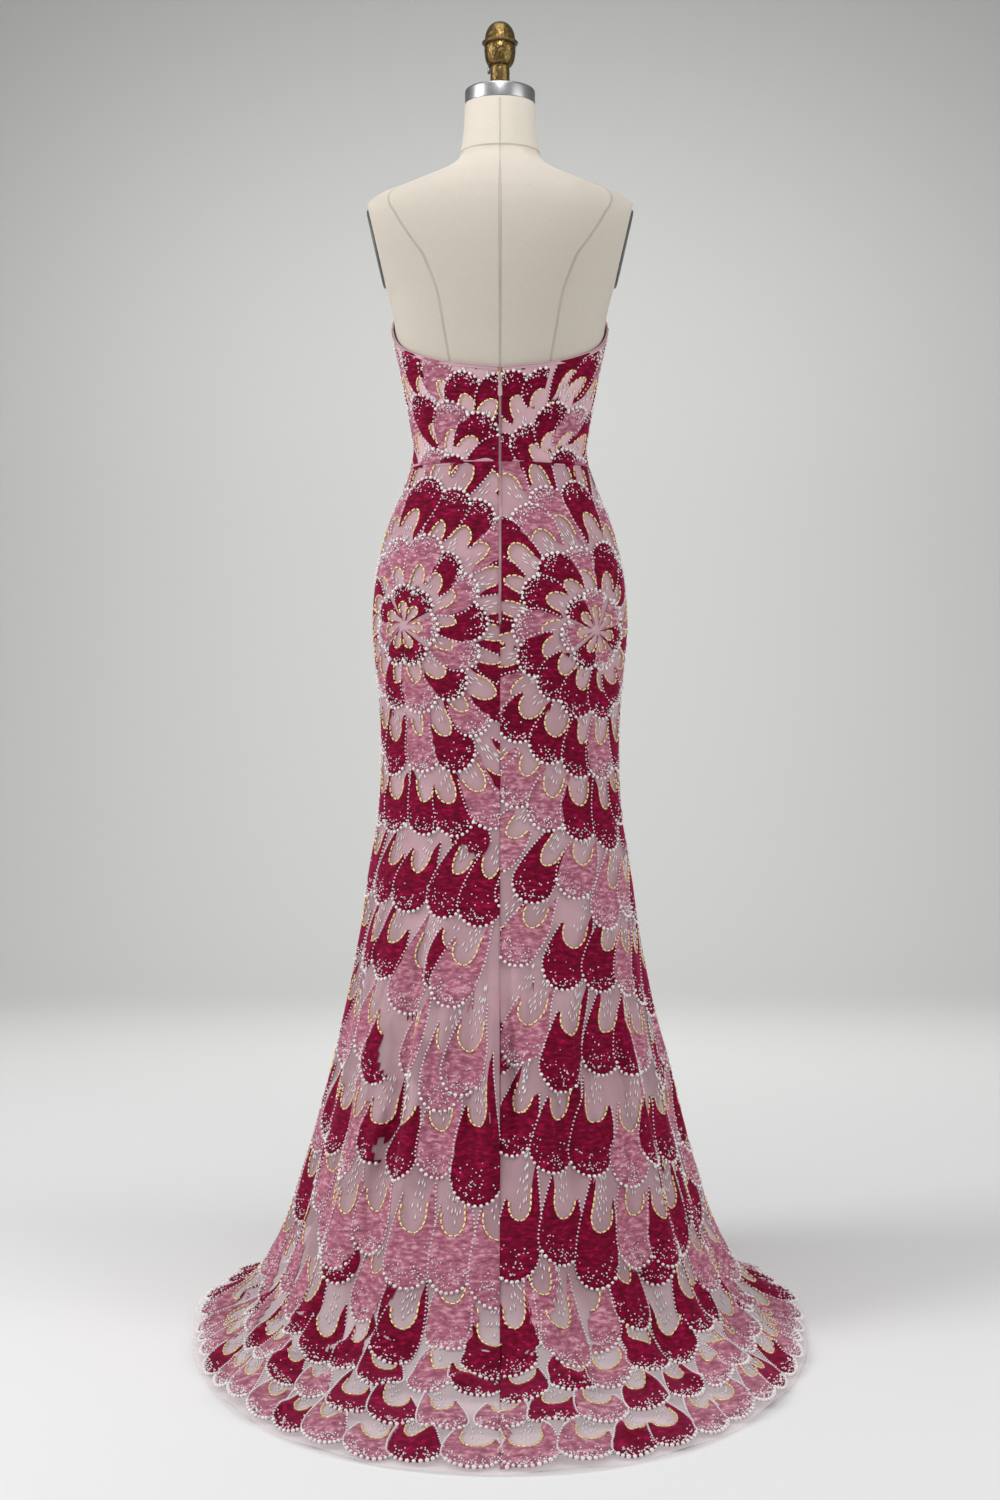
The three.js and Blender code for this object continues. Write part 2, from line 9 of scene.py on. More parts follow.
import bpy
import numpy as np
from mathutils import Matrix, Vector


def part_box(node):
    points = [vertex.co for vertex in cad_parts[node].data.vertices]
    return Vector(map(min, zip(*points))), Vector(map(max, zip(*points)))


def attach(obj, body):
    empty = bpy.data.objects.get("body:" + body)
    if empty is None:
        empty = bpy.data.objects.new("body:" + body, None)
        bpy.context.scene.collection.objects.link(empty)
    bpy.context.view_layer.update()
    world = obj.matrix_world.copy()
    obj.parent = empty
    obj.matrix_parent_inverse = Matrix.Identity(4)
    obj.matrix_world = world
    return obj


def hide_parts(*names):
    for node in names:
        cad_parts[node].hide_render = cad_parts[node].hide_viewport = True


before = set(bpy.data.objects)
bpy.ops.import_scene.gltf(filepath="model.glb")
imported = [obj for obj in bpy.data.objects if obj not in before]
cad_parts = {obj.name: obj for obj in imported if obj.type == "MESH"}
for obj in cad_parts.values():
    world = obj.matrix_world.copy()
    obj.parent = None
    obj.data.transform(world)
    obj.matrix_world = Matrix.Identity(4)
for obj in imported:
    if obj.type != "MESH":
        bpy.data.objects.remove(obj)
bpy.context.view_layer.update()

MM = 0.001
random = np.random.default_rng(7)


def make_table(names, *rows):
    """Named columns of a short table"""
    return {name: np.array(values, float) for name, values in zip(names.split(), zip(*rows))}


# Heights and layers, as in the CAD
NECK_TOP = 1667
WAIST = 1155
HIP = 929
FORM_BOTTOM = 836
FOLD_FLOOR = 55
SEAM_GAP = 0.3
CLEARANCE = 1.2
LINING_WALL = 1.0
LAYER_GAP = 0.4
NET_WALL = 1.6
BODICE_WALL = 1.8
NET_STAND_OFF = CLEARANCE + LINING_WALL + LAYER_GAP
GOWN_STAND_OFF = NET_STAND_OFF + NET_WALL
ZIP_HALF_WIDTH = 2.2
ZIP_TOP = 1282
ZIP_BOTTOM = 930
SQUARENESS = 0.02
CUP_SPACING = 80
CUP_WIDTH = 44

# Where the shown sheets lie in their walls
NET_HEIGHT = 1.3
LINING_DEPTH = 0.4
BODICE_HEIGHT = 1.5

# The form: half width, depth to the front and to the back, and how far the cups stand out
FORM = make_table(
    "z side front back cup",
    (1667, 49.5, 49, 49, 0),
    (1640, 50.5, 50, 50, 0),
    (1615, 53, 53, 52, 0),
    (1598, 56.5, 57, 55, 0),
    (1588, 60, 60, 58, 0),
    (1574, 80, 65, 66, 0),
    (1563, 107, 70, 73, 0),
    (1551, 137, 76, 80, 0),
    (1540, 167, 82, 86, 0),
    (1526, 188, 88, 91, 0),
    (1505, 197, 95, 97, 0),
    (1470, 190, 102, 101, 1),
    (1430, 172, 107, 101, 5),
    (1395, 156, 112, 99, 12),
    (1365, 149.5, 117, 96, 22),
    (1335, 145, 121, 93, 29),
    (1295, 135.5, 117, 90, 21),
    (1267, 130, 111, 86, 10),
    (1239, 125, 104, 82, 3),
    (1211, 120, 97, 78, 0),
    (1182, 116, 91, 75, 0),
    (1155, 121, 90, 76, 0),
    (1119, 134, 91, 82, 0),
    (1084, 148.5, 94, 92, 0),
    (1042, 161.5, 98, 104, 0),
    (985, 171, 100, 116.5, 0),
    (929, 173.8, 100.8, 123.8, 0),
    (844, 165, 98, 119, 0),
    (836, 156, 90, 110, 0),
)

# The inner face of the net below the hips, in the troughs between the folds
SKIRT_BELOW_HIP = (
    (929, 176.4, 103.4, 126.4, 0, 1, 0.4),
    (844, 168.5, 101, 122, 0, 1, 0.6),
    (760, 164.5, 98, 122.5, 0, 1, 1),
    (676, 168, 103, 132, 0, 1, 2),
    (592, 179, 117, 150, 0, 1, 4),
    (506, 188.5, 136, 176, 0, 1, 7),
    (394, 206, 160, 214, 0, 1, 10),
    (281, 228, 187, 259, 2, 1, 12),
    (168, 255, 218, 313, 6, 1, 13),
    (100, 274, 239, 351, 12, 1, 12),
    (55, 293, 255, 381, 18, 1, 10),
    (25, 315, 270, 414, 28, 0.95, 7),
    (10, 342, 283, 464, 40, 0.8, 4),
    (5, 368, 294, 548, 52, 0.62, 2.5),
    (3.2, 391, 304, 656, 62, 0.45, 1.6),
    (0, 408, 313, 756, 70, 0.3, 1.6),
)

# Folds that open towards the hem, in degrees from the centre back
FOLDS = make_table(
    "at wide out top",
    (9, 11, 9, 430),
    (28, 12, 15, 560),
    (47, 12, 24, 690),
    (67, 11, 14, 520),
    (88, 14, 26, 700),
    (112, 14, 16, 540),
    (138, 15, 19, 590),
    (165, 16, 14, 500),
    (194, 17, 18, 560),
    (222, 15, 15, 520),
    (247, 14, 18, 580),
    (271, 14, 25, 680),
    (293, 12, 15, 540),
    (312, 11, 21, 640),
    (331, 11, 12, 500),
    (350, 12, 17, 570),
)
FOLD_GROWTH = 1.3

# The top edge of the bodice, in degrees from the centre back
TOP_EDGE = make_table(
    "at z",
    (0, 1282),
    (34, 1293),
    (53, 1306),
    (72, 1324),
    (90, 1351),
    (112, 1378),
    (140, 1392),
    (160, 1386),
    (180, 1364),
)

# Creases placed one by one: where their middle is, how long and wide they are, how far they lean from the
# meridian in degrees, and how far they stand out. across is the width at right angles to the length.
CREASES = make_table(
    "at z long across lean out",
    (16, 1120, 70, 16, 38, 0.7),
    (-19, 1105, 80, 18, -35, 0.8),
    (33, 1060, 95, 20, 24, 0.7),
    (-42, 1075, 80, 18, -28, 0.6),
    (64, 1090, 70, 17, 30, 0.6),
    (-70, 1050, 90, 18, -22, 0.6),
    (58, 742, 90, 22, 72, 2.6),
    (70, 700, 80, 20, 62, 2.4),
    (40, 668, 95, 24, 48, 2.2),
    (-55, 735, 80, 22, -70, 2.2),
    (-72, 680, 90, 22, -58, 2.6),
    (-30, 655, 90, 26, -34, 2.0),
    (12, 600, 130, 24, 16, 2.6),
    (-13, 570, 150, 26, -10, 3.8),
    (61, 470, 320, 17, 3, 7.2),
    (-58, 430, 300, 18, -4, 8.1),
    (20, 380, 260, 20, 4, 10),
    (24, 330, 200, 15, 3, -4.7),
    (-4, 330, 330, 15, 1, -5.6),
    (3.5, 300, 360, 15, 1, 5.4),
    (10.5, 330, 300, 15, -1, -4.7),
    (-10, 420, 260, 15, 2, -4.7),
    (-19, 330, 260, 15, -2, 4.9),
    (-29, 300, 300, 15, 2, -5.4),
    (-44, 330, 300, 15, 1, -5.4),
    (45, 300, 300, 15, -1, -5.6),
    (53, 330, 320, 15, 1, 5.6),
    (27.5, 345, 560, 34, 1, 17),
    (34.5, 345, 560, 28, 1, -14),
    (-3, 360, 420, 18, 1, -8),
    (3, 360, 420, 20, 1, 8),
    (7, 420, 260, 16, -3, 6.4),
    (-6, 450, 240, 15, 3, 5.6),
    (-14, 300, 260, 20, 1, 6.8),
    (14, 240, 240, 18, 1, 7.4),
    (-24, 350, 280, 22, -5, 8.6),
    (41, 240, 260, 24, 4, 8.6),
    (-38, 240, 260, 22, -5, 9.2),
    (-49, 330, 300, 20, -4, 8.1),
    (4, 260, 210, 22, 2, 4.6),
    (82, 330, 260, 20, 2, 5.7),
    (-85, 300, 260, 20, -3, 5.7),
    (105, 380, 260, 26, 3, 5.4),
    (128, 300, 240, 26, -3, 5.7),
    (152, 340, 260, 28, 4, 4.9),
    (178, 280, 240, 28, -2, 5.4),
    (206, 350, 260, 28, -4, 5.1),
    (232, 300, 240, 26, 3, 5.7),
    (256, 360, 250, 24, 2, 5.4),
    (112, 700, 80, 22, 60, 2.2),
    (150, 720, 90, 24, 30, 2.0),
    (208, 715, 90, 24, -32, 2.0),
    (246, 705, 80, 22, -62, 2.2),
)

# Crumples of the net where it meets the floor: degrees from the centre back, how far along the way from
# the floor's edge of the skirt to the hem, their length and width, their lean and their height
CRUMPLES = make_table(
    "at share long across lean out",
    (3, 0.02, 60, 21, 74, 9.4),
    (-8, 0.10, 70, 23, -64, 11),
    (14, 0.08, 75, 23, 66, 11),
    (-20, -0.02, 66, 21, -78, 9.4),
    (26, 0.00, 70, 23, 80, 11),
    (-31, 0.12, 64, 22, -58, 10),
    (37, 0.14, 72, 23, 56, 11),
    (-43, 0.00, 60, 21, 84, 9.4),
    (48, 0.02, 62, 21, -70, 9.4),
    (-54, 0.16, 66, 22, -52, 10),
    (59, 0.18, 60, 21, 50, 9.4),
    (-66, 0.02, 52, 18, 76, 6.9),
    (70, 0.04, 52, 18, -66, 6.9),
    (-78, 0.22, 50, 20, -40, 8.5),
    (81, 0.22, 50, 20, 42, 8.5),
    (8, 0.32, 90, 26, 30, 9.6),
    (-14, 0.36, 96, 29, -24, 11),
    (21, 0.42, 90, 26, 20, 9.6),
    (-27, 0.38, 84, 25, -30, 9.6),
    (33, 0.48, 80, 26, 26, 9.6),
    (-38, 0.52, 78, 25, -22, 9.6),
    (45, 0.46, 70, 23, 34, 9.6),
    (-49, 0.42, 66, 23, -34, 9.6),
    (56, 0.56, 60, 22, 22, 8),
    (-62, 0.58, 56, 21, -24, 8),
    (1, 0.66, 100, 29, 8, 8),
    (-9, 0.74, 90, 26, -12, 8),
    (12, 0.76, 84, 25, 14, 8),
    (-22, 0.78, 80, 25, -16, 8),
    (27, 0.78, 76, 23, 12, 8),
    (-35, 0.80, 66, 22, -10, 6.4),
    (39, 0.80, 66, 22, 16, 6.4),
)

# Rows and columns of the shown sheets
BACK_COLUMNS = 108
FRONT_COLUMNS = 144
SKIRT_ROWS = 168
BODICE_COLUMNS = 40
BODICE_FRONT_COLUMNS = 90
BODICE_ROWS = 40

# The angle along which each sheet's rows are evenly spaced
BACK_ROW_ANGLE = 0.35
FRONT_ROW_ANGLE = math.pi

PANELS = {
    "back_left": (0, 90),
    "front": (90, 270),
    "back_right": (270, 360),
}


def table_value(table, key, column, keys):
    """Smooth curve through a table: the value of one column where the key column has these keys"""
    knots = table[key]
    values = table[column]
    if knots[-1] < knots[0]:
        knots = knots[::-1]
        values = values[::-1]
    slopes = np.empty_like(values)
    slopes[1:-1] = (values[2:] - values[:-2]) / (knots[2:] - knots[:-2])
    slopes[0] = (values[1] - values[0]) / (knots[1] - knots[0])
    slopes[-1] = (values[-1] - values[-2]) / (knots[-1] - knots[-2])
    keys = np.asarray(keys, float)
    row = np.clip(np.searchsorted(knots, keys, side="right") - 1, 0, len(knots) - 2)
    span = knots[row + 1] - knots[row]
    t = np.clip((keys - knots[row]) / span, 0, 1)
    rest = 1 - t
    ends = rest * rest * (1 + 2 * t) * values[row] + t * t * (3 - 2 * t) * values[row + 1]
    return ends + t * rest * span * (rest * slopes[row] - t * slopes[row + 1])


def ring_points(z, side, front, back, middle, cup, angle):
    """Points of level rings, as in the CAD. The sizes and the angles broadcast together."""
    across = np.sin(angle)
    along = np.cos(angle)
    depth = np.where(along > 0, back - middle, front + middle)
    corner = 1 + SQUARENESS * np.sin(2 * angle) ** 2
    x = side * across * corner
    left = np.exp(-(((x - CUP_SPACING) / CUP_WIDTH) ** 2))
    right = np.exp(-(((x + CUP_SPACING) / CUP_WIDTH) ** 2))
    cup_out = cup * (left + right) * np.sqrt(np.clip(-along, 0, 1))
    y = middle + depth * along * corner - cup_out
    return np.stack(np.broadcast_arrays(x, y, z), axis=-1)


def grid_normals(points):
    """Unit normals of a grid over columns of growing angle and rows from top to bottom"""
    across = np.gradient(points, axis=0)
    down = np.gradient(points, axis=1)
    normals = np.cross(across, down)
    return normals / np.linalg.norm(normals, axis=-1, keepdims=True)


# The skirt's rings, from the waist to the hem, with an index for their key
HIP_ROWS = [row for row in range(len(FORM["z"])) if HIP < FORM["z"][row] <= WAIST]
SKIRT = make_table(
    "z side front back middle fold lining index",
    *(
        (
            FORM["z"][row] - (SEAM_GAP / 2 if number == 0 else 0),
            FORM["side"][row] + NET_STAND_OFF,
            FORM["front"][row] + NET_STAND_OFF,
            FORM["back"][row] + NET_STAND_OFF,
            0,
            1,
            LAYER_GAP,
            number,
        )
        for number, row in enumerate(HIP_ROWS)
    ),
    *((*row, len(HIP_ROWS) + number) for number, row in enumerate(SKIRT_BELOW_HIP)),
)
HEM_INDEX = SKIRT["index"][-1]
FLOOR_INDEX = HEM_INDEX - 4


def skirt_column(name, index):
    return table_value(SKIRT, "index", name, index)


def form_column(name, z):
    return table_value(FORM, "z", name, z)


def angle_from(degrees, at):
    """Signed difference of two angles in degrees"""
    return (degrees - at + 540) % 360 - 180


def fold_height(degrees, z):
    """How far the large folds stand out of the troughs, as in the CAD"""
    height = 0
    for at, wide, out, top in zip(*(FOLDS[name] for name in ("at", "wide", "out", "top"))):
        away = np.abs(angle_from(degrees, at))
        grown = np.clip((top - z) / (top - FOLD_FLOOR), 0, 1) ** FOLD_GROWTH
        wave = np.cos(np.clip(away / wide, 0, 1) * math.pi / 2) ** 2
        height = height + out * grown * wave
    return height


RIDGE_BOW = 0.12
RIDGE_LEVEL = 60
NEAR_DEGREES = 3


def full_turn(sides):
    """Evenly spaced angles round the vertical axis, as a column"""
    return np.linspace(0, 2 * math.pi, sides, endpoint=False)[:, None]


def ridge(points, normals, middle, long, across, lean, out):
    """Height of one soft ridge that is centred on a point of the grid and leans in the surface"""
    column, row = middle
    normal = normals[column, row]
    down = points[column, min(row + 1, points.shape[1] - 1)] - points[column, max(row - 1, 0)]
    down = down - normal * (down @ normal)
    down = down / np.linalg.norm(down)
    sideways = np.cross(down, normal)
    turn = math.radians(lean)
    along = math.cos(turn) * down + math.sin(turn) * sideways
    beside = math.cos(turn) * sideways - math.sin(turn) * down
    away = points - points[column, row]
    length_part = np.clip(np.abs(away @ along) / (long / 2), 0, 1)
    bow = (away @ along) ** 2 / long * RIDGE_BOW
    width_part = np.exp(-(((away @ beside + bow) / (across / 2)) ** 2))
    level = np.exp(-(((away @ normal) / RIDGE_LEVEL) ** 2))
    return out * np.cos(length_part * math.pi / 2) ** 2 * width_part * level


class Panel:
    """One sheet of cloth as a grid of points: columns of growing angle, rows from the top down"""

    def __init__(self, name, points, normals):
        self.name = name
        self.points = points
        self.normals = normals
        self.columns = points.shape[0] - 1
        self.rows = points.shape[1] - 1
        across = np.linalg.norm(np.diff(points, axis=0), axis=-1)
        down = np.linalg.norm(np.diff(points, axis=1), axis=-1)
        self.girth = np.vstack([across[:1], (across[1:] + across[:-1]) / 2, across[-1:]])
        self.length = np.hstack([np.zeros((self.columns + 1, 1)), np.cumsum(down, axis=1)])

    def read(self, grid, column, row):
        """Values of a grid between its points"""
        column = np.clip(column, 0, self.columns)
        row = np.clip(row, 0, self.rows)
        left = np.minimum(column.astype(int), self.columns - 1)
        top = np.minimum(row.astype(int), self.rows - 1)
        x = column - left
        y = row - top
        if grid.ndim == 3:
            x = x[..., None]
            y = y[..., None]
        upper = grid[left, top] * (1 - x) + grid[left + 1, top] * x
        lower = grid[left, top + 1] * (1 - x) + grid[left + 1, top + 1] * x
        return upper * (1 - y) + lower * y

    def column_lengths(self, column):
        """Lengths from the top edge to each row, along one column"""
        column = np.clip(column, 0, self.columns)
        left = min(int(column), self.columns - 1)
        share = column - left
        return self.length[left] * (1 - share) + self.length[left + 1] * share

    def reach_from(self, base, across, down):
        """Columns and rows that lie so many millimetres across and down from a base, which is a column
        and a length from the top edge. Columns may lie outside the sheet. over is how far the places
        lie above the top edge, which is negative, or past the lower one."""
        column, start = base
        lengths = self.column_lengths(column)
        target = start + down
        rows = np.interp(target, lengths, np.arange(self.rows + 1))
        over = np.minimum(target, 0) + np.maximum(target - lengths[-1], 0)
        first = self.read(self.girth, np.full_like(rows, column), rows)
        guess = column + across / first
        girth = self.read(self.girth, (column + guess) / 2, rows)
        return column + across / girth, rows, over

    def step_from(self, base, across, down):
        """The same places, moved to the sheet's edge where they lie outside it, and whether a bead fits"""
        columns, rows, _ = self.reach_from(base, across, down)
        target = base[1] + down
        inside = (target > BEAD_MARGIN) & (target < self.column_lengths(base[0])[-1] - BEAD_MARGIN)
        inside &= (columns > 0) & (columns < self.columns)
        return np.clip(columns, 0, self.columns), rows, inside

    def base_at(self, column, row, over=0.0):
        """A base from a column and a row"""
        return column, float(np.interp(row, np.arange(self.rows + 1), self.column_lengths(column))) + over

    def outside(self, column, row):
        """How far a column lies outside the sheet, in millimetres"""
        edge = float(np.clip(column, 0, self.columns))
        return (column - edge) * float(self.read(self.girth, np.array([edge]), np.array([row]))[0])

    def beyond(self, column, row, over):
        """The place of a base in space, also where it lies outside the sheet"""
        across, down = self.directions(column, row)
        edge = float(np.clip(column, 0, self.columns))
        point = self.place(np.array([edge]), np.array([row]), np.zeros(1))[0][0]
        return point + across * self.outside(column, row) + down * over

    def place(self, column, row, height):
        """Points over the sheet, and its normals there"""
        normal = self.read(self.normals, column, row)
        normal = normal / np.linalg.norm(normal, axis=-1, keepdims=True)
        return self.read(self.points, column, row) + normal * np.asarray(height)[..., None], normal

    def unit_steps(self, column, row):
        """Unit vectors along the row and along the column at one place, which needn't be square"""
        column = float(np.clip(column, 0.5, self.columns - 0.5))
        row = float(np.clip(row, 0.5, self.rows - 0.5))
        ends = self.read(
            self.points,
            np.array([column - 0.5, column + 0.5, column, column]),
            np.array([row, row, row - 0.5, row + 0.5]),
        )
        steps = ends[1::2] - ends[::2]
        return steps / np.linalg.norm(steps, axis=-1, keepdims=True)

    def directions(self, column, row):
        """Unit vectors across and down the sheet at one place, square to each other"""
        across, along = self.unit_steps(column, row)
        down = along - across * (along @ across)
        return across, down / np.linalg.norm(down)

    def area(self):
        across = np.diff(self.points, axis=0)[:, :-1]
        down = np.diff(self.points, axis=1)[:-1]
        return float(np.linalg.norm(np.cross(across, down), axis=-1).sum())


def skirt_trough(angle, index):
    sizes = {name: skirt_column(name, index) for name in ("z", "side", "front", "back", "middle")}
    return ring_points(cup=0, angle=angle, **sizes)


def skirt_row_indices(rows, last, at_angle):
    """Ring indices of rows that are evenly spaced down the skirt at one angle"""
    fine = np.linspace(0, last, 1200)
    points = skirt_trough(np.full_like(fine, at_angle), fine)
    lengths = np.concatenate([[0], np.cumsum(np.linalg.norm(np.diff(points, axis=0), axis=-1))])
    return np.interp(np.linspace(0, lengths[-1], rows + 1), lengths, fine)


def seam_offsets(index, from_degrees, to_degrees):
    """Angles that a piece leaves free at its two seams in each row"""
    z = skirt_column("z", index)
    zip_gap = np.where(z >= HIP, ZIP_HALF_WIDTH, SEAM_GAP / 2)
    plain_gap = np.full_like(z, SEAM_GAP / 2)
    first = (zip_gap if from_degrees == 0 else plain_gap) / skirt_column("side", index)
    last = (zip_gap if to_degrees == 360 else plain_gap) / skirt_column("side", index)
    return first, last


def add_creases(points, normals, degrees, z, index):
    """Raises the creases and crumples that were placed one by one"""
    height = np.zeros(points.shape[:2])
    floor_share = (index - FLOOR_INDEX) / (HEM_INDEX - FLOOR_INDEX)
    for table, key, places in ((CREASES, "z", z), (CRUMPLES, "share", floor_share)):
        names = ("at", key, "long", "across", "lean", "out")
        for at, level, *shape in zip(*(table[name] for name in names)):
            near = np.abs(angle_from(degrees, at))
            if near.min() < NEAR_DEGREES:
                middle = (int(near.argmin()), int(np.abs(places - level).argmin()))
                height += ridge(points, normals, middle, *shape)
    return height


def skirt_panel(name):
    """The net of one skirt piece"""
    from_degrees, to_degrees = PANELS[name]
    columns = FRONT_COLUMNS if name == "front" else BACK_COLUMNS
    row_angle = FRONT_ROW_ANGLE if name == "front" else BACK_ROW_ANGLE
    index = skirt_row_indices(SKIRT_ROWS, HEM_INDEX, row_angle)
    first, last = seam_offsets(index, from_degrees, to_degrees)
    share = np.linspace(0, 1, columns + 1)[:, None]
    start = math.radians(from_degrees) + first
    end = math.radians(to_degrees) - last
    angle = start + (end - start) * share
    trough = skirt_trough(angle, index[None, :])
    normals = grid_normals(trough)
    z = skirt_column("z", index)
    fold = fold_height(np.degrees(angle), z[None, :]) * skirt_column("fold", index)
    points = trough + normals * (fold + NET_HEIGHT)[..., None]
    points[:, 0, 2] = z[0]
    height = add_creases(points, grid_normals(points), np.degrees(angle[:, -1]), z, index)
    points = points + grid_normals(points) * height[..., None]
    return Panel(f"skirt_{name}", points, grid_normals(points))


# The lining follows the net's rings down to here, and its last rows spread to its own hem
LINING_FOLLOWS = 14
LINING_END = {"back": 0.55, "side": -0.55, "front": -0.9}
LINING_ROWS = 90


def lining_end(angle):
    along = np.cos(angle)
    towards = np.where(along > 0, LINING_END["back"], LINING_END["front"])
    nearness = np.abs(along) ** 1.5
    return HEM_INDEX - 1 + LINING_END["side"] + (towards - LINING_END["side"]) * nearness


def lining_panel(name):
    """The satin lining of one skirt piece, down to its own hem"""
    from_degrees, to_degrees = PANELS[name]
    columns = (FRONT_COLUMNS if name == "front" else BACK_COLUMNS) // 2
    share = np.linspace(0, 1, columns + 1)[:, None]
    plain = math.radians(from_degrees) + math.radians(to_degrees - from_degrees) * share
    row_angle = FRONT_ROW_ANGLE if name == "front" else BACK_ROW_ANGLE
    rows = skirt_row_indices(LINING_ROWS, HEM_INDEX, row_angle)
    spread = np.clip((rows - LINING_FOLLOWS) / (HEM_INDEX - LINING_FOLLOWS), 0, 1)
    index = np.minimum(rows, LINING_FOLLOWS) + (lining_end(plain) - LINING_FOLLOWS) * spread
    gap = SEAM_GAP / 2 / skirt_column("side", index)
    start = math.radians(from_degrees) + gap
    end = math.radians(to_degrees) - gap
    angle = start + (end - start) * share
    trough = skirt_trough(angle, index)
    normals = grid_normals(trough)
    inset = skirt_column("lining", index) + LINING_DEPTH
    points = trough - normals * inset[..., None]
    points[..., 2] = np.maximum(points[..., 2], LINING_WALL)
    return Panel(f"lining_{name}", points, grid_normals(points))


def bodice_panel(name):
    """The net and satin of one bodice piece"""
    from_degrees, to_degrees = PANELS[name]
    columns = BODICE_FRONT_COLUMNS if name == "front" else BODICE_COLUMNS
    gap = SEAM_GAP / 2
    first = ZIP_HALF_WIDTH if from_degrees == 0 else gap
    last = ZIP_HALF_WIDTH if to_degrees == 360 else gap
    start = math.radians(from_degrees) + first / FORM["side"].mean()
    end = math.radians(to_degrees) - last / FORM["side"].mean()
    angle = np.linspace(start, end, columns + 1)[:, None]
    top = table_value(TOP_EDGE, "at", "z", np.abs(angle_from(np.degrees(angle), 0)))
    share = np.linspace(0, 1, BODICE_ROWS + 1)[None, :]
    z = top + (WAIST + gap - top) * share
    grown = GOWN_STAND_OFF - BODICE_WALL + BODICE_HEIGHT
    sizes = {side: form_column(side, z) + grown for side in ("side", "front", "back")}
    points = ring_points(z=z, middle=0, cup=form_column("cup", z), angle=angle, **sizes)
    return Panel(f"bodice_{name}", points, grid_normals(points))


# Meshes from arrays

def new_object(name, points, faces, material, smooth=True):
    """A mesh piece in the scene, from points in millimetres and faces with as many corners each"""
    mesh = bpy.data.meshes.new(name)
    faces = np.asarray(faces, np.int32)
    corners = faces.shape[1]
    mesh.vertices.add(len(points))
    mesh.vertices.foreach_set("co", (np.asarray(points, float) * MM).astype(np.float32).ravel())
    mesh.loops.add(faces.size)
    mesh.loops.foreach_set("vertex_index", faces.ravel())
    mesh.polygons.add(len(faces))
    mesh.polygons.foreach_set("loop_start", np.arange(len(faces), dtype=np.int32) * corners)
    mesh.polygons.foreach_set("use_smooth", np.full(len(faces), smooth))
    mesh.update(calc_edges=True)
    mesh.validate()
    mesh.materials.append(material)
    piece = bpy.data.objects.new(name, mesh)
    bpy.context.scene.collection.objects.link(piece)
    return piece


def on_root(piece, stands_for=()):
    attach(piece, "root")
    if stands_for:
        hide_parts(*stands_for)
    return piece


def grid_faces(columns, rows, start=0, closed=False):
    """Quads of a grid of (columns + 1) by (rows + 1) points, wound to face along the grid's normals"""
    stride = rows + 1
    column = np.arange(columns)[:, None]
    row = np.arange(rows)[None, :]
    following = (column + 1) % (columns + 1) if not closed else (column + 1) % columns
    corners = (
        column * stride + row,
        following * stride + row,
        following * stride + row + 1,
        column * stride + row + 1,
    )
    return np.stack([np.broadcast_to(c, (columns, rows)) for c in corners], axis=-1).reshape(-1, 4) + start


def sheet_object(panel, material):
    faces = grid_faces(panel.columns, panel.rows)
    return new_object(f"{panel.name}_cloth", panel.points.reshape(-1, 3), faces, material)


def join_parts(parts):
    """One list of points and one of faces from several"""
    points = []
    faces = []
    count = 0
    for part_points, part_faces in parts:
        points.append(part_points)
        faces.append(np.asarray(part_faces) + count)
        count += len(part_points)
    return np.vstack(points), np.vstack(faces)


# Bead shapes of unit size, longest along X, with Z away from the cloth

def octahedron():
    points = np.array([(1, 0, 0), (-1, 0, 0), (0, 1, 0), (0, -1, 0), (0, 0, 1), (0, 0, -1)], float) / 2
    faces = [(0, 2, 4), (2, 1, 4), (1, 3, 4), (3, 0, 4), (2, 0, 5), (1, 2, 5), (3, 1, 5), (0, 3, 5)]
    return points, np.array(faces)


def icosahedron():
    golden = (1 + math.sqrt(5)) / 2
    points = []
    for a in (-1, 1):
        for b in (-golden, golden):
            points += [(0, a, b), (a, b, 0), (b, 0, a)]
    points = np.array(points, float)
    points /= 2 * np.linalg.norm(points[0])
    edge = min(np.linalg.norm(points[0] - other) for other in points[1:])
    near = np.linalg.norm(points[:, None] - points[None], axis=-1) < edge * 1.1
    faces = []
    for i in range(12):
        for j in range(i + 1, 12):
            for k in range(j + 1, 12):
                if near[i, j] and near[j, k] and near[i, k]:
                    turn = np.linalg.det(points[[i, j, k]])
                    faces.append((i, j, k) if turn > 0 else (i, k, j))
    return points, np.array(faces)


def tube_bead(sides=4):
    """A short bugle with closed, slightly narrower ends"""
    points = []
    for x, radius in ((-0.5, 0.36), (-0.42, 0.5), (0.42, 0.5), (0.5, 0.36)):
        for side in range(sides):
            turn = 2 * math.pi * (side + 0.5) / sides
            points.append((x, radius * math.cos(turn), radius * math.sin(turn)))
    faces = []
    for ring in range(3):
        for side in range(sides):
            a = ring * sides + side
            b = ring * sides + (side + 1) % sides
            faces += [(a, b, b + sides), (a, b + sides, a + sides)]
    last = 3 * sides
    for side in range(1, sides - 1):
        faces.append((0, side + 1, side))
        faces.append((last, last + side, last + side + 1))
    return np.array(points, float), np.array(faces)


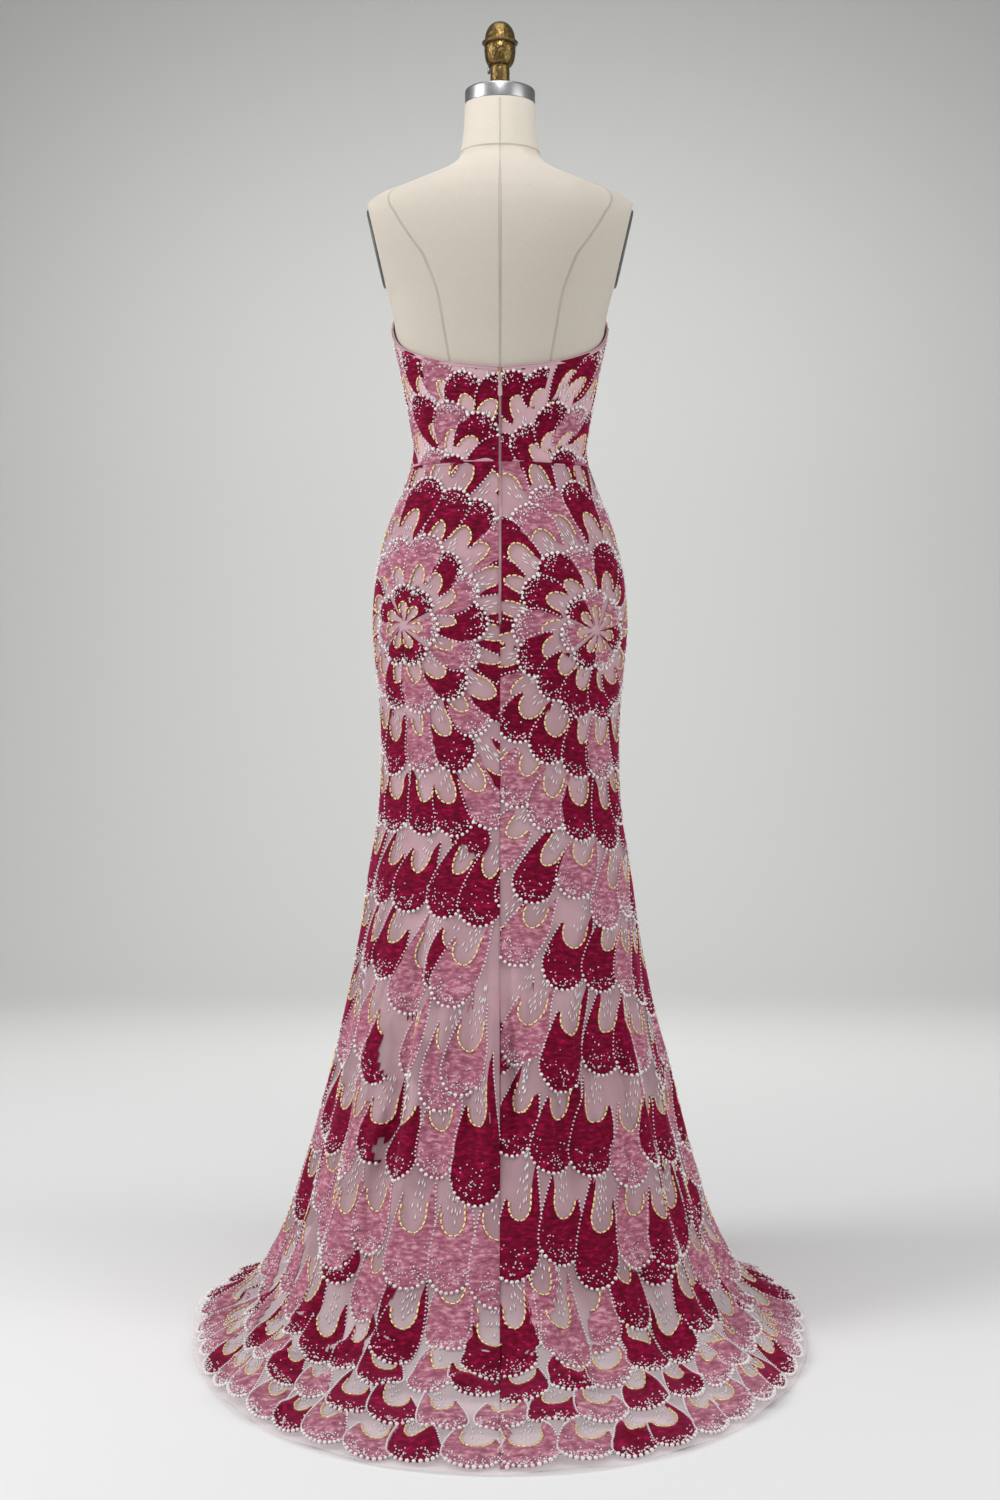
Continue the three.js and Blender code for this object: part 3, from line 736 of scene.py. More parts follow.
class Beads:
    """Beads of one kind on a panel, collected first and then made as one mesh"""

    def __init__(self, shape):
        self.shape = shape
        self.rows = []

    def add(self, points, normals, along, long, wide):
        """Beads at points, with their length along a direction, and one size for each"""
        if len(points):
            self.rows.append((points, normals, along, np.stack((long, wide, wide), axis=-1)))

    def build(self, name, material, slot):
        if not self.rows:
            return None
        points, normals, along, sizes = (np.concatenate(c) for c in zip(*self.rows))
        along = along - normals * (along * normals).sum(-1, keepdims=True)
        along = along / np.maximum(np.linalg.norm(along, axis=-1, keepdims=True), 1e-9)
        beside = np.cross(normals, along)
        shape_points, shape_faces = self.shape
        scaled = shape_points[None] * sizes[:, None]
        placed = (
            points[:, None]
            + scaled[..., 0:1] * along[:, None]
            + scaled[..., 1:2] * beside[:, None]
            + scaled[..., 2:3] * normals[:, None]
        )
        starts = np.arange(len(points)) * len(shape_points)
        faces = (shape_faces[None] + starts[:, None, None]).reshape(-1, 3)
        piece = new_object(name, placed.reshape(-1, 3), faces, material)
        return on_root(piece)


# Petals: each is a velvet U round a window of bare net, with its tip on a front that spreads from a centre

# Sizes of beads, how far apart they are sewn, and how high their middles lie over the net
BUGLE = {"long": 6.2, "wide": 2.8, "pitch": 7.6, "height": 1.1}
TIP_PEARL = {"small": 4.4, "large": 6.0, "pitch": 7.2, "height": 1.6}
EDGE_PEARL = {"wide": 3.3, "pitch": 5.2, "height": 1.2}
SILVER = {"long": 11.0, "wide": 1.9, "pitch": 14.0, "height": 0.7}
SEQUIN = {"small": 1.7, "large": 3.1, "over_velvet": 0.5}
SEQUIN_COUNT = {"dark": 38, "rose": 52}

# How far beads stay from a panel's ends, and how far inside a petal above they or velvet are left out
BEAD_MARGIN = 5
BEAD_COVER = 0.5
VELVET_COVER = 2.5

# A petal covers what is nearer than these shares of its root's distance and of its step
COVER_REACH = 1.5
COVER_END = 0.98

# Velvet faces smaller than this are left out, in square millimetres
SMALLEST_FACE = 0.1

# Where scattered beads lie on the velvet: along the U from its tip, and inwards from its edge, as shares
SEQUIN_ALONG = {"spread": 0.26, "limit": 0.66}
SEQUIN_INWARD = {"spread": 0.19, "first": 0.09, "limit": 0.9}

# Lines of clear beads in a window
LINES_IN_WINDOW = (3, 6)
LINES_IN_SMALL_WINDOW = 2
SMALL_STEP = 60
LINE_START = 6
LINE_UNEVEN = 12
LINE_END = 1.25
LINE_KEPT = 0.94

# The U: its velvet over the net, its stations along the tip's arcs and the arms, and across it
VELVET_LIFT = 1.45
LIFT_SPREAD = (0.85, 1.15)
ARM_LIFT = 0.45
TIP_SLOPE = 1.1
ARC_STATIONS = 9
ARM_STATIONS = 5
PEARL_SHARE = 0.72
BUGLE_ARM_STATIONS = 2
ACROSS = (0, 0.08, 0.27, 0.46, 0.65, 0.82, 0.94, 1)
ACROSS_HEIGHT = (0.1, 1, 1.05, 1.1, 1.1, 1.05, 0.95, 0.15)

# A petal's proportions: of its step to the next row, of half its width, or in millimetres for the arms
VELVET_SPREAD = (0.88, 1.14)
TIP_ROUND = (1.02, 1.2)
WINDOW_ROUND = (0.66, 0.82)
ROOT_AT = 1.55
ROOT_WIDTH = 0.12
LONG_ARM = (11, 14.5)
SHORT_ARM = (4.5, 7.5)
LONG_ARM_END = (1.0, 1.2)
SHORT_ARM_END = (0.66, 0.86)
BEND = 0.09
WEDGE = {"velvet": 0.42, "arm": 3.5, "arm_end": 0.9, "window": 9}


class Petal:
    """Sizes and place of one petal. Along its length v runs from the tip to the root, and u across."""

    def __init__(self, panel, column, row, over, direction, step, width, order, wedge):
        self.panel = panel
        self.tip = panel.base_at(column, row, over)
        self.direction = direction
        self.step = step
        self.half = width / 2
        self.order = order
        self.dark = False
        self.wedge = wedge
        self.velvet = min(0.5 * step + 4, 0.56 * step) * random.uniform(*VELVET_SPREAD)
        self.tip_height = self.half * random.uniform(*TIP_ROUND)
        self.root = step * ROOT_AT
        self.root_half = width * ROOT_WIDTH
        long_side = 1 if random.random() < 0.5 else -1
        self.arm = {long_side: random.uniform(*LONG_ARM), -long_side: random.uniform(*SHORT_ARM)}
        self.arm_end = {
            long_side: random.uniform(*LONG_ARM_END),
            -long_side: random.uniform(*SHORT_ARM_END),
        }
        self.window_height = self.half * random.uniform(*WINDOW_ROUND)
        if wedge:
            self.velvet = WEDGE["velvet"] * step
            self.root = step
            self.arm = {1: WEDGE["arm"], -1: WEDGE["arm"]}
            self.arm_end = {1: WEDGE["arm_end"], -1: WEDGE["arm_end"]}
            self.window_height = WEDGE["window"]
        self.bend = random.uniform(-1, 1) * BEND * step
        self.lift = VELVET_LIFT * random.uniform(*LIFT_SPREAD)
        self.across, self.down = panel.directions(column, row)
        self.along = panel.unit_steps(column, row)[1]
        self.point = panel.beyond(column, row, over)

    def half_width(self, v):
        """Half the outline's width at a distance from the tip"""
        v = np.asarray(v, float)
        round_part = np.sqrt(np.clip(1 - (1 - np.clip(v / self.tip_height, 0, 1)) ** 2, 0, 1))
        taper = np.clip((v - self.tip_height) / (self.root - self.tip_height), 0, 1)
        body = self.root_half + (self.half - self.root_half) * (0.5 + 0.5 * np.cos(math.pi * taper))
        half = np.where(v < self.tip_height, self.half * round_part, body)
        if self.wedge:
            half = np.minimum(half, np.clip(self.step - v, 0, None) * self.wedge + 0.5)
        return half

    def drift(self, v):
        """How far the petal's middle line leaves the straight one"""
        return self.bend * (np.asarray(v) / self.root) ** 2

    def chart(self, u, v):
        """Millimetres across and down the panel from the tip"""
        a, b = self.direction
        u = u + self.drift(v)
        return u * b - v * a, -u * a - v * b

    def locate(self, u, v, height):
        """Points over the panel, its normals there and whether a bead fits"""
        across, down = self.chart(np.asarray(u, float), np.asarray(v, float))
        columns, rows, inside = self.panel.step_from(self.tip, across, down)
        points, normals = self.panel.place(columns, rows, np.broadcast_to(height, columns.shape))
        return points, normals, inside

    def covers(self, points, margin):
        """Which points lie inside this petal's outline"""
        away = points - self.point
        down = (away @ self.down) / (self.along @ self.down)
        across = away @ self.across - down * (self.along @ self.across)
        a, b = self.direction
        v = -(across * a + down * b)
        u = across * b - down * a - self.drift(np.clip(v, 0, self.root))
        near = np.linalg.norm(away, axis=-1) < self.root * COVER_REACH
        return near & (v > 0) & (v < self.step * COVER_END) & (np.abs(u) < self.half_width(v) - margin)

    def window_start(self, side):
        """Half the window's width at its widest, and its distance from the tip there"""
        v = self.velvet + self.window_height
        return self.half_width(v) - self.arm[side], v

    def edges(self):
        """Outer and inner edge of the velvet U, from the end of one arm round the tip to the other"""
        outer = []
        inner = []
        for side in (-1, 1):
            half, start = self.window_start(side)
            end = max(self.arm_end[side] * self.step, start + 3)
            arc = []
            arc_inner = []
            for share in np.linspace(0, 1, ARC_STATIONS + 1):
                turn = share * math.pi / 2
                reach = self.tip_height * (1 - math.cos(turn))
                arc.append((side * min(self.half * math.sin(turn), float(self.half_width(reach))), reach))
                depth = self.velvet + self.window_height * (1 - math.cos(turn))
                arc_inner.append((side * half * math.sin(turn), depth))
            for share in np.linspace(0, 1, ARM_STATIONS + 1)[1:]:
                v = self.tip_height + (end - self.tip_height) * share
                arc.append((side * float(self.half_width(v)), v))
                v = start + (end - start) * share
                arm = self.arm[side] * (1 - share**1.7)
                arc_inner.append((side * float(self.half_width(v) - arm), v))
            if side < 0:
                outer += arc[::-1]
                inner += arc_inner[::-1]
            else:
                outer += arc[1:]
                inner += arc_inner[1:]
        return np.array(outer), np.array(inner)


def even_marks(line, pitch):
    """Points at an even pitch along a line of (u, v), and the line's direction there"""
    steps = np.linalg.norm(np.diff(line, axis=0), axis=-1)
    length = np.concatenate([[0], np.cumsum(steps)])
    count = max(int(length[-1] / pitch), 1)
    at = (np.arange(count) + 0.5) * length[-1] / count
    marks = np.stack([np.interp(at, length, line[:, axis]) for axis in (0, 1)], axis=-1)
    ahead = np.stack([np.interp(at + 0.5, length, line[:, axis]) for axis in (0, 1)], axis=-1)
    behind = np.stack([np.interp(at - 0.5, length, line[:, axis]) for axis in (0, 1)], axis=-1)
    return marks, ahead - behind


class Trim:
    """Everything sewn on one panel"""

    def __init__(self, panel):
        self.panel = panel
        self.velvet = {"dark": [], "rose": []}
        self.pearls = Beads(icosahedron())
        self.seeds = Beads(octahedron())
        self.bugles = Beads(tube_bead())
        self.lines = Beads(octahedron())

    def free(self, points, above, margin):
        """Which points no petal above covers"""
        open_places = np.ones(len(points), bool)
        for other in above:
            open_places &= ~other.covers(points, margin)
        return open_places

    def add_velvet(self, petal, above):
        outer, inner = petal.edges()
        stations = len(outer)
        tipness = np.clip(1 - np.abs(np.linspace(-1, 1, stations)) * TIP_SLOPE, 0, 1)
        lift = petal.lift * (ARM_LIFT + (1 - ARM_LIFT) * tipness)
        columns = []
        for share, height in zip(ACROSS, ACROSS_HEIGHT):
            line = outer + (inner - outer) * share
            points, _, _ = petal.locate(line[:, 0], line[:, 1], lift * height)
            columns.append(points)
        points = np.stack(columns, axis=1)
        faces = grid_faces(stations - 1, len(ACROSS) - 1)
        flat = points.reshape(-1, 3)
        corners = flat[faces]
        size = np.linalg.norm(np.cross(corners[:, 2] - corners[:, 0], corners[:, 3] - corners[:, 1]), axis=-1)
        keep = size > 2 * SMALLEST_FACE
        keep &= self.free(corners.mean(axis=1), above, VELVET_COVER)
        if keep.any():
            faces = faces[keep]
            first = flat[faces[:, 0]]
            turn = np.cross(flat[faces[:, 1]] - first, flat[faces[:, 2]] - first).sum(0)
            _, normal, _ = petal.locate([0.0], [petal.velvet / 2], 0.0)
            if turn @ normal[0] < 0:
                faces = faces[:, ::-1]
            self.velvet["dark" if petal.dark else "rose"].append((flat, faces))

    def sew(self, beads, petal, above, marks, toward, height, long, wide):
        """Beads at marks of (u, v), where a bead fits on the panel and no petal above covers it"""
        if len(marks) == 0:
            return
        points, normals, inside = petal.locate(marks[:, 0], marks[:, 1], height)
        a, b = petal.direction
        across = toward[:, 0:1] * b - toward[:, 1:2] * a
        down = -toward[:, 0:1] * a - toward[:, 1:2] * b
        along = across * petal.across + down * petal.along
        keep = inside & self.free(points, above, BEAD_COVER)
        size = [np.broadcast_to(np.asarray(s, float), len(marks))[keep] for s in (long, wide)]
        beads.add(points[keep], normals[keep], along[keep], *size)

    def add_beads(self, petal, above):
        outer, inner = petal.edges()
        middle = len(outer) // 2
        tip_span = round(ARC_STATIONS * PEARL_SHARE)
        tip_line = outer[middle - tip_span : middle + tip_span + 1]
        marks, toward = even_marks(tip_line, TIP_PEARL["pitch"])
        wide = random.uniform(TIP_PEARL["small"], TIP_PEARL["large"], len(marks))
        self.sew(self.pearls, petal, above, marks, toward, TIP_PEARL["height"], wide, wide)
        sides = () if petal.wedge else (outer[: middle - tip_span + 1], outer[middle + tip_span :])
        wide = EDGE_PEARL["wide"]
        for part in sides:
            marks, toward = even_marks(part, EDGE_PEARL["pitch"])
            self.sew(self.seeds, petal, above, marks, toward, EDGE_PEARL["height"], wide, wide)
        rim_span = ARC_STATIONS + BUGLE_ARM_STATIONS
        rim = inner[middle - rim_span : middle + rim_span + 1]
        marks, toward = even_marks(rim, BUGLE["pitch"])
        sizes = (BUGLE["height"], BUGLE["long"], BUGLE["wide"])
        self.sew(self.bugles, petal, above, marks, toward, *sizes)
        self.add_sequins(petal, above, outer, inner)
        if not petal.wedge:
            self.add_lines(petal, above)

    def add_sequins(self, petal, above, outer, inner):
        """Small beads scattered over the velvet, dense towards the tip's edge"""
        count = SEQUIN_COUNT["dark" if petal.dark else "rose"]
        limit = SEQUIN_ALONG["limit"]
        station = np.clip(random.normal(0, SEQUIN_ALONG["spread"], count), -limit, limit)
        place = (station + 1) / 2 * (len(outer) - 1)
        inward = np.abs(random.normal(0, SEQUIN_INWARD["spread"], count)) + SEQUIN_INWARD["first"]
        depth = np.clip(inward, 0, SEQUIN_INWARD["limit"])
        stations = np.arange(len(outer))
        edge, window = (
            np.stack([np.interp(place, stations, line[:, axis]) for axis in (0, 1)], -1)
            for line in (outer, inner)
        )
        marks = edge + (window - edge) * depth[:, None]
        toward = random.normal(0, 1, (count, 2))
        wide = random.uniform(SEQUIN["small"], SEQUIN["large"], count)
        height = petal.lift + SEQUIN["over_velvet"]
        self.sew(self.seeds, petal, above, marks, toward, height, wide, wide)

    def add_lines(self, petal, above):
        """Dashed lines of clear beads that run down the window and meet towards the root"""
        count = int(random.integers(*LINES_IN_WINDOW)) if petal.step > SMALL_STEP else LINES_IN_SMALL_WINDOW
        start = petal.velvet + LINE_START
        for number in range(count):
            share = (number + 0.5 + random.uniform(-0.2, 0.2)) / count * 2 - 1
            side = 1 if share > 0 else -1
            half, _ = petal.window_start(side)
            first = start + random.uniform(0, LINE_UNEVEN) + abs(share) * petal.window_height * 0.7
            end = petal.step * LINE_END
            v = np.arange(first, end, 3.0)
            if len(v) < 4:
                continue
            narrow = np.clip((end - v) / (end - start), 0.12, 1) ** 0.7
            u = share * half * 0.72 * narrow
            marks, toward = even_marks(np.stack([u, v], axis=-1), SILVER["pitch"])
            keep = random.random(len(marks)) < LINE_KEPT
            sizes = (SILVER["height"], SILVER["long"], SILVER["wide"])
            self.sew(self.lines, petal, above, marks[keep], toward[keep], *sizes)

    def add_petals(self, petals):
        for number, petal in enumerate(petals):
            above = [
                other
                for other in petals[:number]
                if other.order >= petal.order - 3
                and not (petal.wedge and other.wedge)
                and np.linalg.norm(other.point - petal.point) < petal.step * 1.2 + other.step + petal.half
            ]
            self.add_velvet(petal, above)
            self.add_beads(petal, above)

    def build(self, materials):
        made = []
        name = self.panel.name
        for shade, parts in self.velvet.items():
            if parts:
                points, faces = join_parts(parts)
                piece = new_object(f"{name}_{shade}_velvet", points, faces, materials[f"{shade}_velvet"])
                made.append(on_root(piece))
        kinds = (
            ("pearls", self.pearls, "pearl"),
            ("seed_beads", self.seeds, "pearl"),
            ("gold_bugles", self.bugles, "bugle_gold"),
            ("clear_beads", self.lines, "clear_bead"),
        )
        for kind, beads, slot in kinds:
            piece = beads.build(f"{name}_{kind}", materials[slot], slot)
            if piece:
                made.append(piece)
        return made


# The layout of the fronts: how far they spread, how unevenly their tips lie, and how the shades alternate
FRONT_REACH = 620
WHOLE_FRONTS = 4
FRONT_SHIFT = 0.1
TIP_SCATTER = 0.13
TIP_ZIGZAG = 0.07
SIDE_SCATTER = 0.12
SKIP_OUTSIDE = 90
OTHER_SHADE = 0.5
DARK_SHARE = 0.7
WIDTH_SPREAD = (1.0, 1.12)
SHORTEST_STEP = 42
WEDGE_FILL = 0.9
STRAIGHTENED = 0.3


def front_places(side, reach, pitch, shift, whole):
    """Turns of evenly spaced petals on one front round a centre, worked out from the lengths along it.
    A turn is 0 straight down and grows to the sides."""
    widest = math.pi if whole else math.asin(min(FRONT_REACH / side, 1))
    turns = np.linspace(-widest, widest, 721)
    across = side * np.sin(turns)
    down = reach * np.cos(turns)
    length = np.concatenate([[0], np.cumsum(np.hypot(np.diff(across), np.diff(down)))])
    if whole:
        count = max(round(length[-1] / pitch), 3)
        places = (np.arange(count) + shift) % count * length[-1] / count
    else:
        half = length[-1] / 2
        wide = int(half / pitch)
        places = half + (np.arange(-wide, wide) + shift) * pitch
    return np.interp(places, length, turns)


def spread_petals(panel, centre, fronts, leans, keep_above, seed):
    """Petals on each front in turn, so that the earlier fronts lie over the later ones. The outer
    fronts lean across the panel, and end so many millimetres above the hem."""
    local = np.random.default_rng(seed)
    petals = []
    inner = (0.0, 0.0)
    for number, (reach, side, pitch) in enumerate(fronts):
        shift = 0.5 * (number % 2) + local.uniform(-FRONT_SHIFT, FRONT_SHIFT)
        depth = abs(reach - inner[0])
        scatter = TIP_SCATTER * depth * min(number, 1)
        zigzag = TIP_ZIGZAG * depth * min(number / 2, 1)
        lean_here = leans[min(number, len(leans) - 1)]
        whole = reach > 0 and number < WHOLE_FRONTS
        for place, turn in enumerate(front_places(side, reach, pitch, shift, whole)):
            turn += local.uniform(-SIDE_SCATTER, SIDE_SCATTER) * pitch / abs(side)
            share = 1 + (local.uniform(-scatter, scatter) + zigzag * (-1) ** place) / reach
            across = np.array([inner[1], side * share]) * math.sin(turn)
            down = np.array([inner[0], reach * share]) * math.cos(turn)
            down = down - across * lean_here * 0.5
            columns, rows, over = panel.reach_from(centre, across, down)
            if not -SKIP_OUTSIDE < panel.outside(columns[1], rows[1]) < SKIP_OUTSIDE:
                continue
            lengths = panel.column_lengths(columns[1])
            if np.interp(rows[1], range(panel.rows + 1), lengths) > lengths[-1] - keep_above:
                continue
            ends = [panel.beyond(*end) for end in zip(columns, rows, over)]
            vector = ends[1] - ends[0]
            step = float(np.linalg.norm(vector))
            toward = np.array([vector @ axis for axis in panel.directions(columns[1], rows[1])])
            toward = toward / np.linalg.norm(toward)
            if number >= WHOLE_FRONTS:
                toward[0] = toward[0] * STRAIGHTENED + lean_here
                toward = toward / np.linalg.norm(toward)
            width = pitch * local.uniform(*WIDTH_SPREAD)
            wedge = WEDGE_FILL * pitch / (2 * reach) if number == 0 and whole else 0
            place_values = (columns[1], rows[1], over[1])
            petal = Petal(panel, *place_values, toward, max(step, SHORTEST_STEP), width, number, wedge)
            petal.dark = (place + number) % 2 == 0
            if local.random() < OTHER_SHADE:
                petal.dark = local.random() < DARK_SHARE
            petals.append(petal)
        inner = (reach, side)
    return petals


HEM_MARGIN = 13
HEM_ROWS = 4
HEM_STEP = 104
HEM_PITCH = 60
HEM_SCATTER = 26
LAST_ROW_SCATTER = 12
HEM_LEAN = 0.12
HEM_STRETCH = 1.1
HEM_DARK_SHARE = 0.52


def hem_petals(panel, order, seed):
    """Rows of petals that follow the hem, the upper ones over the lower ones, so that their tips
    scallop it"""
    local = np.random.default_rng(seed)
    petals = []
    for number in range(HEM_ROWS):
        rise = HEM_MARGIN + (HEM_ROWS - 1 - number) * HEM_STEP
        scatter = HEM_SCATTER if number < HEM_ROWS - 1 else LAST_ROW_SCATTER
        lengths = panel.column_lengths(panel.columns / 2)
        row = np.interp(lengths[-1] - rise, lengths, range(panel.rows + 1))
        widths = panel.read(panel.girth, np.arange(panel.columns) + 0.5, np.full(panel.columns, row))
        ends = np.concatenate([[0], np.cumsum(widths)])
        total = widths.sum()
        count = round(total / HEM_PITCH)
        for place in range(count + 1):
            along = (place + 0.5 * (number % 2)) * total / count
            column = float(np.interp(along, ends, range(panel.columns + 1)))
            lengths = panel.column_lengths(column)
            back = rise + local.uniform(-0.5, 0.5) * scatter
            at = float(np.interp(lengths[-1] - back, lengths, range(panel.rows + 1)))
            toward = np.array([local.uniform(-HEM_LEAN, HEM_LEAN), 1.0])
            toward = toward / np.linalg.norm(toward)
            width = HEM_PITCH * local.uniform(*WIDTH_SPREAD)
            step = HEM_STEP * HEM_STRETCH
            petal = Petal(panel, column, at, 0.0, toward, step, width, order + number, 0)
            petal.dark = local.random() < HEM_DARK_SHARE
            petals.append(petal)
    return petals


BARE_STEP = 4
MOST_BARE_PETALS = 60
BARE_TIP = (0.3, 0.5)
BARE_WIDTH = (0.95, 1.05)


def bare_petals(panel, petals, seed):
    """Petals that lie under the others where a wide place would be bare"""
    local = np.random.default_rng(seed)
    points = panel.points[::BARE_STEP, ::BARE_STEP]
    flat = points.reshape(-1, 3)
    covered = np.zeros(len(flat), bool)
    for petal in petals:
        covered |= petal.covers(flat, 0)
    made = []
    while len(made) < MOST_BARE_PETALS:
        bare = ~covered.reshape(points.shape[:2])
        inner = bare[1:-1, 1:-1] & bare[:-2, 1:-1] & bare[2:, 1:-1] & bare[1:-1, 2:]
        if not inner.any():
            break
        columns, rows = np.nonzero(inner)
        first = int(rows.argmin())
        column = (columns[first] + 1) * BARE_STEP
        row = (rows[first] + 1) * BARE_STEP
        nearest = min(petals, key=lambda petal: np.linalg.norm(petal.point - panel.points[column, row]))
        lengths = panel.column_lengths(column)
        tip = lengths[row] + nearest.step * local.uniform(*BARE_TIP)
        tip = min(tip, lengths[-1] - HEM_MARGIN)
        at = float(np.interp(tip, lengths, range(panel.rows + 1)))
        width = nearest.half * 2 * local.uniform(*BARE_WIDTH)
        petal = Petal(panel, column, at, 0.0, nearest.direction, nearest.step, width, nearest.order + 1, 0)
        petal.dark = local.random() < 0.5
        made.append(petal)
        covered |= petal.covers(flat, 0)
        covered[(column // BARE_STEP) * points.shape[1] + row // BARE_STEP] = True
    return made


# Steps between fronts below the hips, and how wide the fronts are there
FRONT_STEPS = (56, 66, 78, 90, 100, 110, 116, 120, 124, 126, 126, 126, 126, 126)
FRONT_SIDES = (56, 120, 196, 310, 520, 900, 1600, 2400, 3000, 3000, 3000, 3000, 3000, 3000)
FRONT_PITCHES = (52, 54, 55, 56, 57, 58, 59, 60, 60, 61, 61, 61, 61, 61)
PAST_HEM = 200
BODICE_FRONTS = {"first": 66, "end": 500, "step": 68, "pitch": 55}


def skirt_fronts(panel, centre):
    """Fronts from the hips to the hem"""
    lengths = panel.column_lengths(centre[0])
    room = lengths[-1] - centre[1] + PAST_HEM
    sums = np.cumsum(FRONT_STEPS)
    return [sizes for sizes in zip(sums, FRONT_SIDES, FRONT_PITCHES) if sizes[0] < room]


def bodice_fronts():
    """Upward fronts round a centre under the waist"""
    reaches = range(BODICE_FRONTS["first"], BODICE_FRONTS["end"], BODICE_FRONTS["step"])
    return [(-reach, reach, BODICE_FRONTS["pitch"]) for reach in reaches]


# Materials

def new_material(name, **values):
    """A material with one shader, whose constant values are set on its own sockets"""
    material = bpy.data.materials.new(name)
    material.use_nodes = True
    shader = material.node_tree.nodes["Principled BSDF"]
    for socket, value in values.items():
        shader.inputs[socket.replace("_", " ")].default_value = value
    return material, material.node_tree, shader


def add_node(tree, kind, settings=None, **inputs):
    node = tree.nodes.new(kind)
    for name, value in (settings or {}).items():
        setattr(node, name, value)
    for name, value in inputs.items():
        node.inputs[name.replace("_", " ")].default_value = value
    return node


def place_vector(tree, scale=(1, 1, 1)):
    """Object coordinates, stretched"""
    coordinates = add_node(tree, "ShaderNodeTexCoord")
    mapping = add_node(tree, "ShaderNodeMapping", Scale=scale)
    tree.links.new(coordinates.outputs["Object"], mapping.inputs["Vector"])
    return mapping.outputs["Vector"]


def noise(tree, vector, scale, detail=3, roughness=0.5):
    node = add_node(tree, "ShaderNodeTexNoise", Scale=scale, Detail=detail, Roughness=roughness)
    tree.links.new(vector, node.inputs["Vector"])
    return node.outputs["Fac"]


def colour_ramp(tree, factor, stops):
    ramp = add_node(tree, "ShaderNodeValToRGB")
    elements = ramp.color_ramp.elements
    while len(elements) < len(stops):
        elements.new(0.5)
    for element, (position, colour) in zip(elements, stops):
        element.position = position
        element.color = (*colour, 1)
    tree.links.new(factor, ramp.inputs["Fac"])
    return ramp.outputs["Color"]


def object_axis(tree, axis):
    """One of the object coordinates"""
    coordinates = add_node(tree, "ShaderNodeTexCoord")
    split = add_node(tree, "ShaderNodeSeparateXYZ")
    tree.links.new(coordinates.outputs["Object"], split.inputs["Vector"])
    return split.outputs[axis]


def map_range(tree, value, settings=None, **ends):
    """A value mapped from one range to another"""
    node = add_node(tree, "ShaderNodeMapRange", settings, **ends)
    tree.links.new(value, node.inputs["Value"])
    return node.outputs["Result"]


def add_base_colour(tree, shader, factor, stops):
    """The shader's colour, from a factor through a ramp"""
    tree.links.new(colour_ramp(tree, factor, stops), shader.inputs["Base Color"])


def add_tone(tree, shader, factor, colour, darker, stops=(0.3, 0.7)):
    """The shader's colour, from a darker tone to the full one"""
    low = tuple(value * darker for value in colour)
    add_base_colour(tree, shader, factor, tuple(zip(stops, (low, colour))))


SMOOTH_STEP = {"interpolation_type": "SMOOTHSTEP"}
# Heights in metres between which the cloth's colour turns to the pale painted floor light
FLOOR_LIGHT_HEIGHTS = {"From_Min": 0.11, "From_Max": 0.012}


def painted_floor_light(tree, colour, pale):
    """Painted light: the colour turns pale where the cloth lies on the bright floor"""
    nearness = map_range(tree, object_axis(tree, "Z"), SMOOTH_STEP, **FLOOR_LIGHT_HEIGHTS)
    mix = add_node(tree, "ShaderNodeMixRGB", Color2=(*pale, 1))
    tree.links.new(nearness, mix.inputs["Fac"])
    tree.links.new(colour, mix.inputs["Color1"])
    return mix.outputs["Color"]


def add_bump(tree, shader, height, strength, distance):
    bump = add_node(tree, "ShaderNodeBump", Strength=strength, Distance=distance)
    tree.links.new(height, bump.inputs["Height"])
    tree.links.new(bump.outputs["Normal"], shader.inputs["Normal"])
    return bump


def velvet(name, shades, sheen_tint, sheen):
    material, tree, shader = new_material(name, Roughness=0.85, Sheen_Weight=sheen)
    shader.inputs["Sheen Roughness"].default_value = 0.32
    shader.inputs["Sheen Tint"].default_value = (*sheen_tint, 1)
    shader.inputs["Specular IOR Level"].default_value = 0.12
    crush = noise(tree, place_vector(tree, (1, 1, 2.6)), 95, 4, 0.6)
    add_base_colour(tree, shader, crush, shades)
    add_bump(tree, shader, crush, 0.5, 0.0012)
    return material


def net_material():
    """Fine net: part of it is open, and its threads catch the light"""
    material, tree, shader = new_material("beaded_net", Roughness=0.62, Alpha=0.5, Sheen_Weight=0.15)
    shader.inputs["Sheen Roughness"].default_value = 0.4
    tone = noise(tree, place_vector(tree), 18, 2)
    shades = ((0.3, (0.62, 0.38, 0.43)), (0.7, (0.74, 0.50, 0.55)))
    # The pale colour near the floor is painted light from the bright floor under the net
    colour = painted_floor_light(tree, colour_ramp(tree, tone, shades), (0.93, 0.80, 0.83))
    tree.links.new(colour, shader.inputs["Base Color"])
    mesh = noise(tree, place_vector(tree), 900, 1)
    add_bump(tree, shader, mesh, 0.25, 0.0005)
    return material


def satin_material(name, low, high, roughness):
    material, tree, shader = new_material(name, Roughness=roughness, Sheen_Weight=0.2)
    shader.inputs["Specular IOR Level"].default_value = 0.55
    tone = noise(tree, place_vector(tree), 9, 3)
    # The pale colour near the floor is painted light from the bright floor under the satin
    colour = painted_floor_light(tree, colour_ramp(tree, tone, ((0.3, low), (0.7, high))), (0.86, 0.68, 0.72))
    tree.links.new(colour, shader.inputs["Base Color"])
    weave = noise(tree, place_vector(tree, (1, 1, 3)), 700, 1)
    add_bump(tree, shader, weave, 0.15, 0.0004)
    return material


def bead_material(name, colour, roughness, metallic, coat):
    material, tree, shader = new_material(name, Roughness=roughness, Metallic=metallic, Coat_Weight=coat)
    shader.inputs["Coat Roughness"].default_value = 0.08
    add_tone(tree, shader, noise(tree, place_vector(tree), 160, 1), colour, 0.86, (0.35, 0.65))
    return material


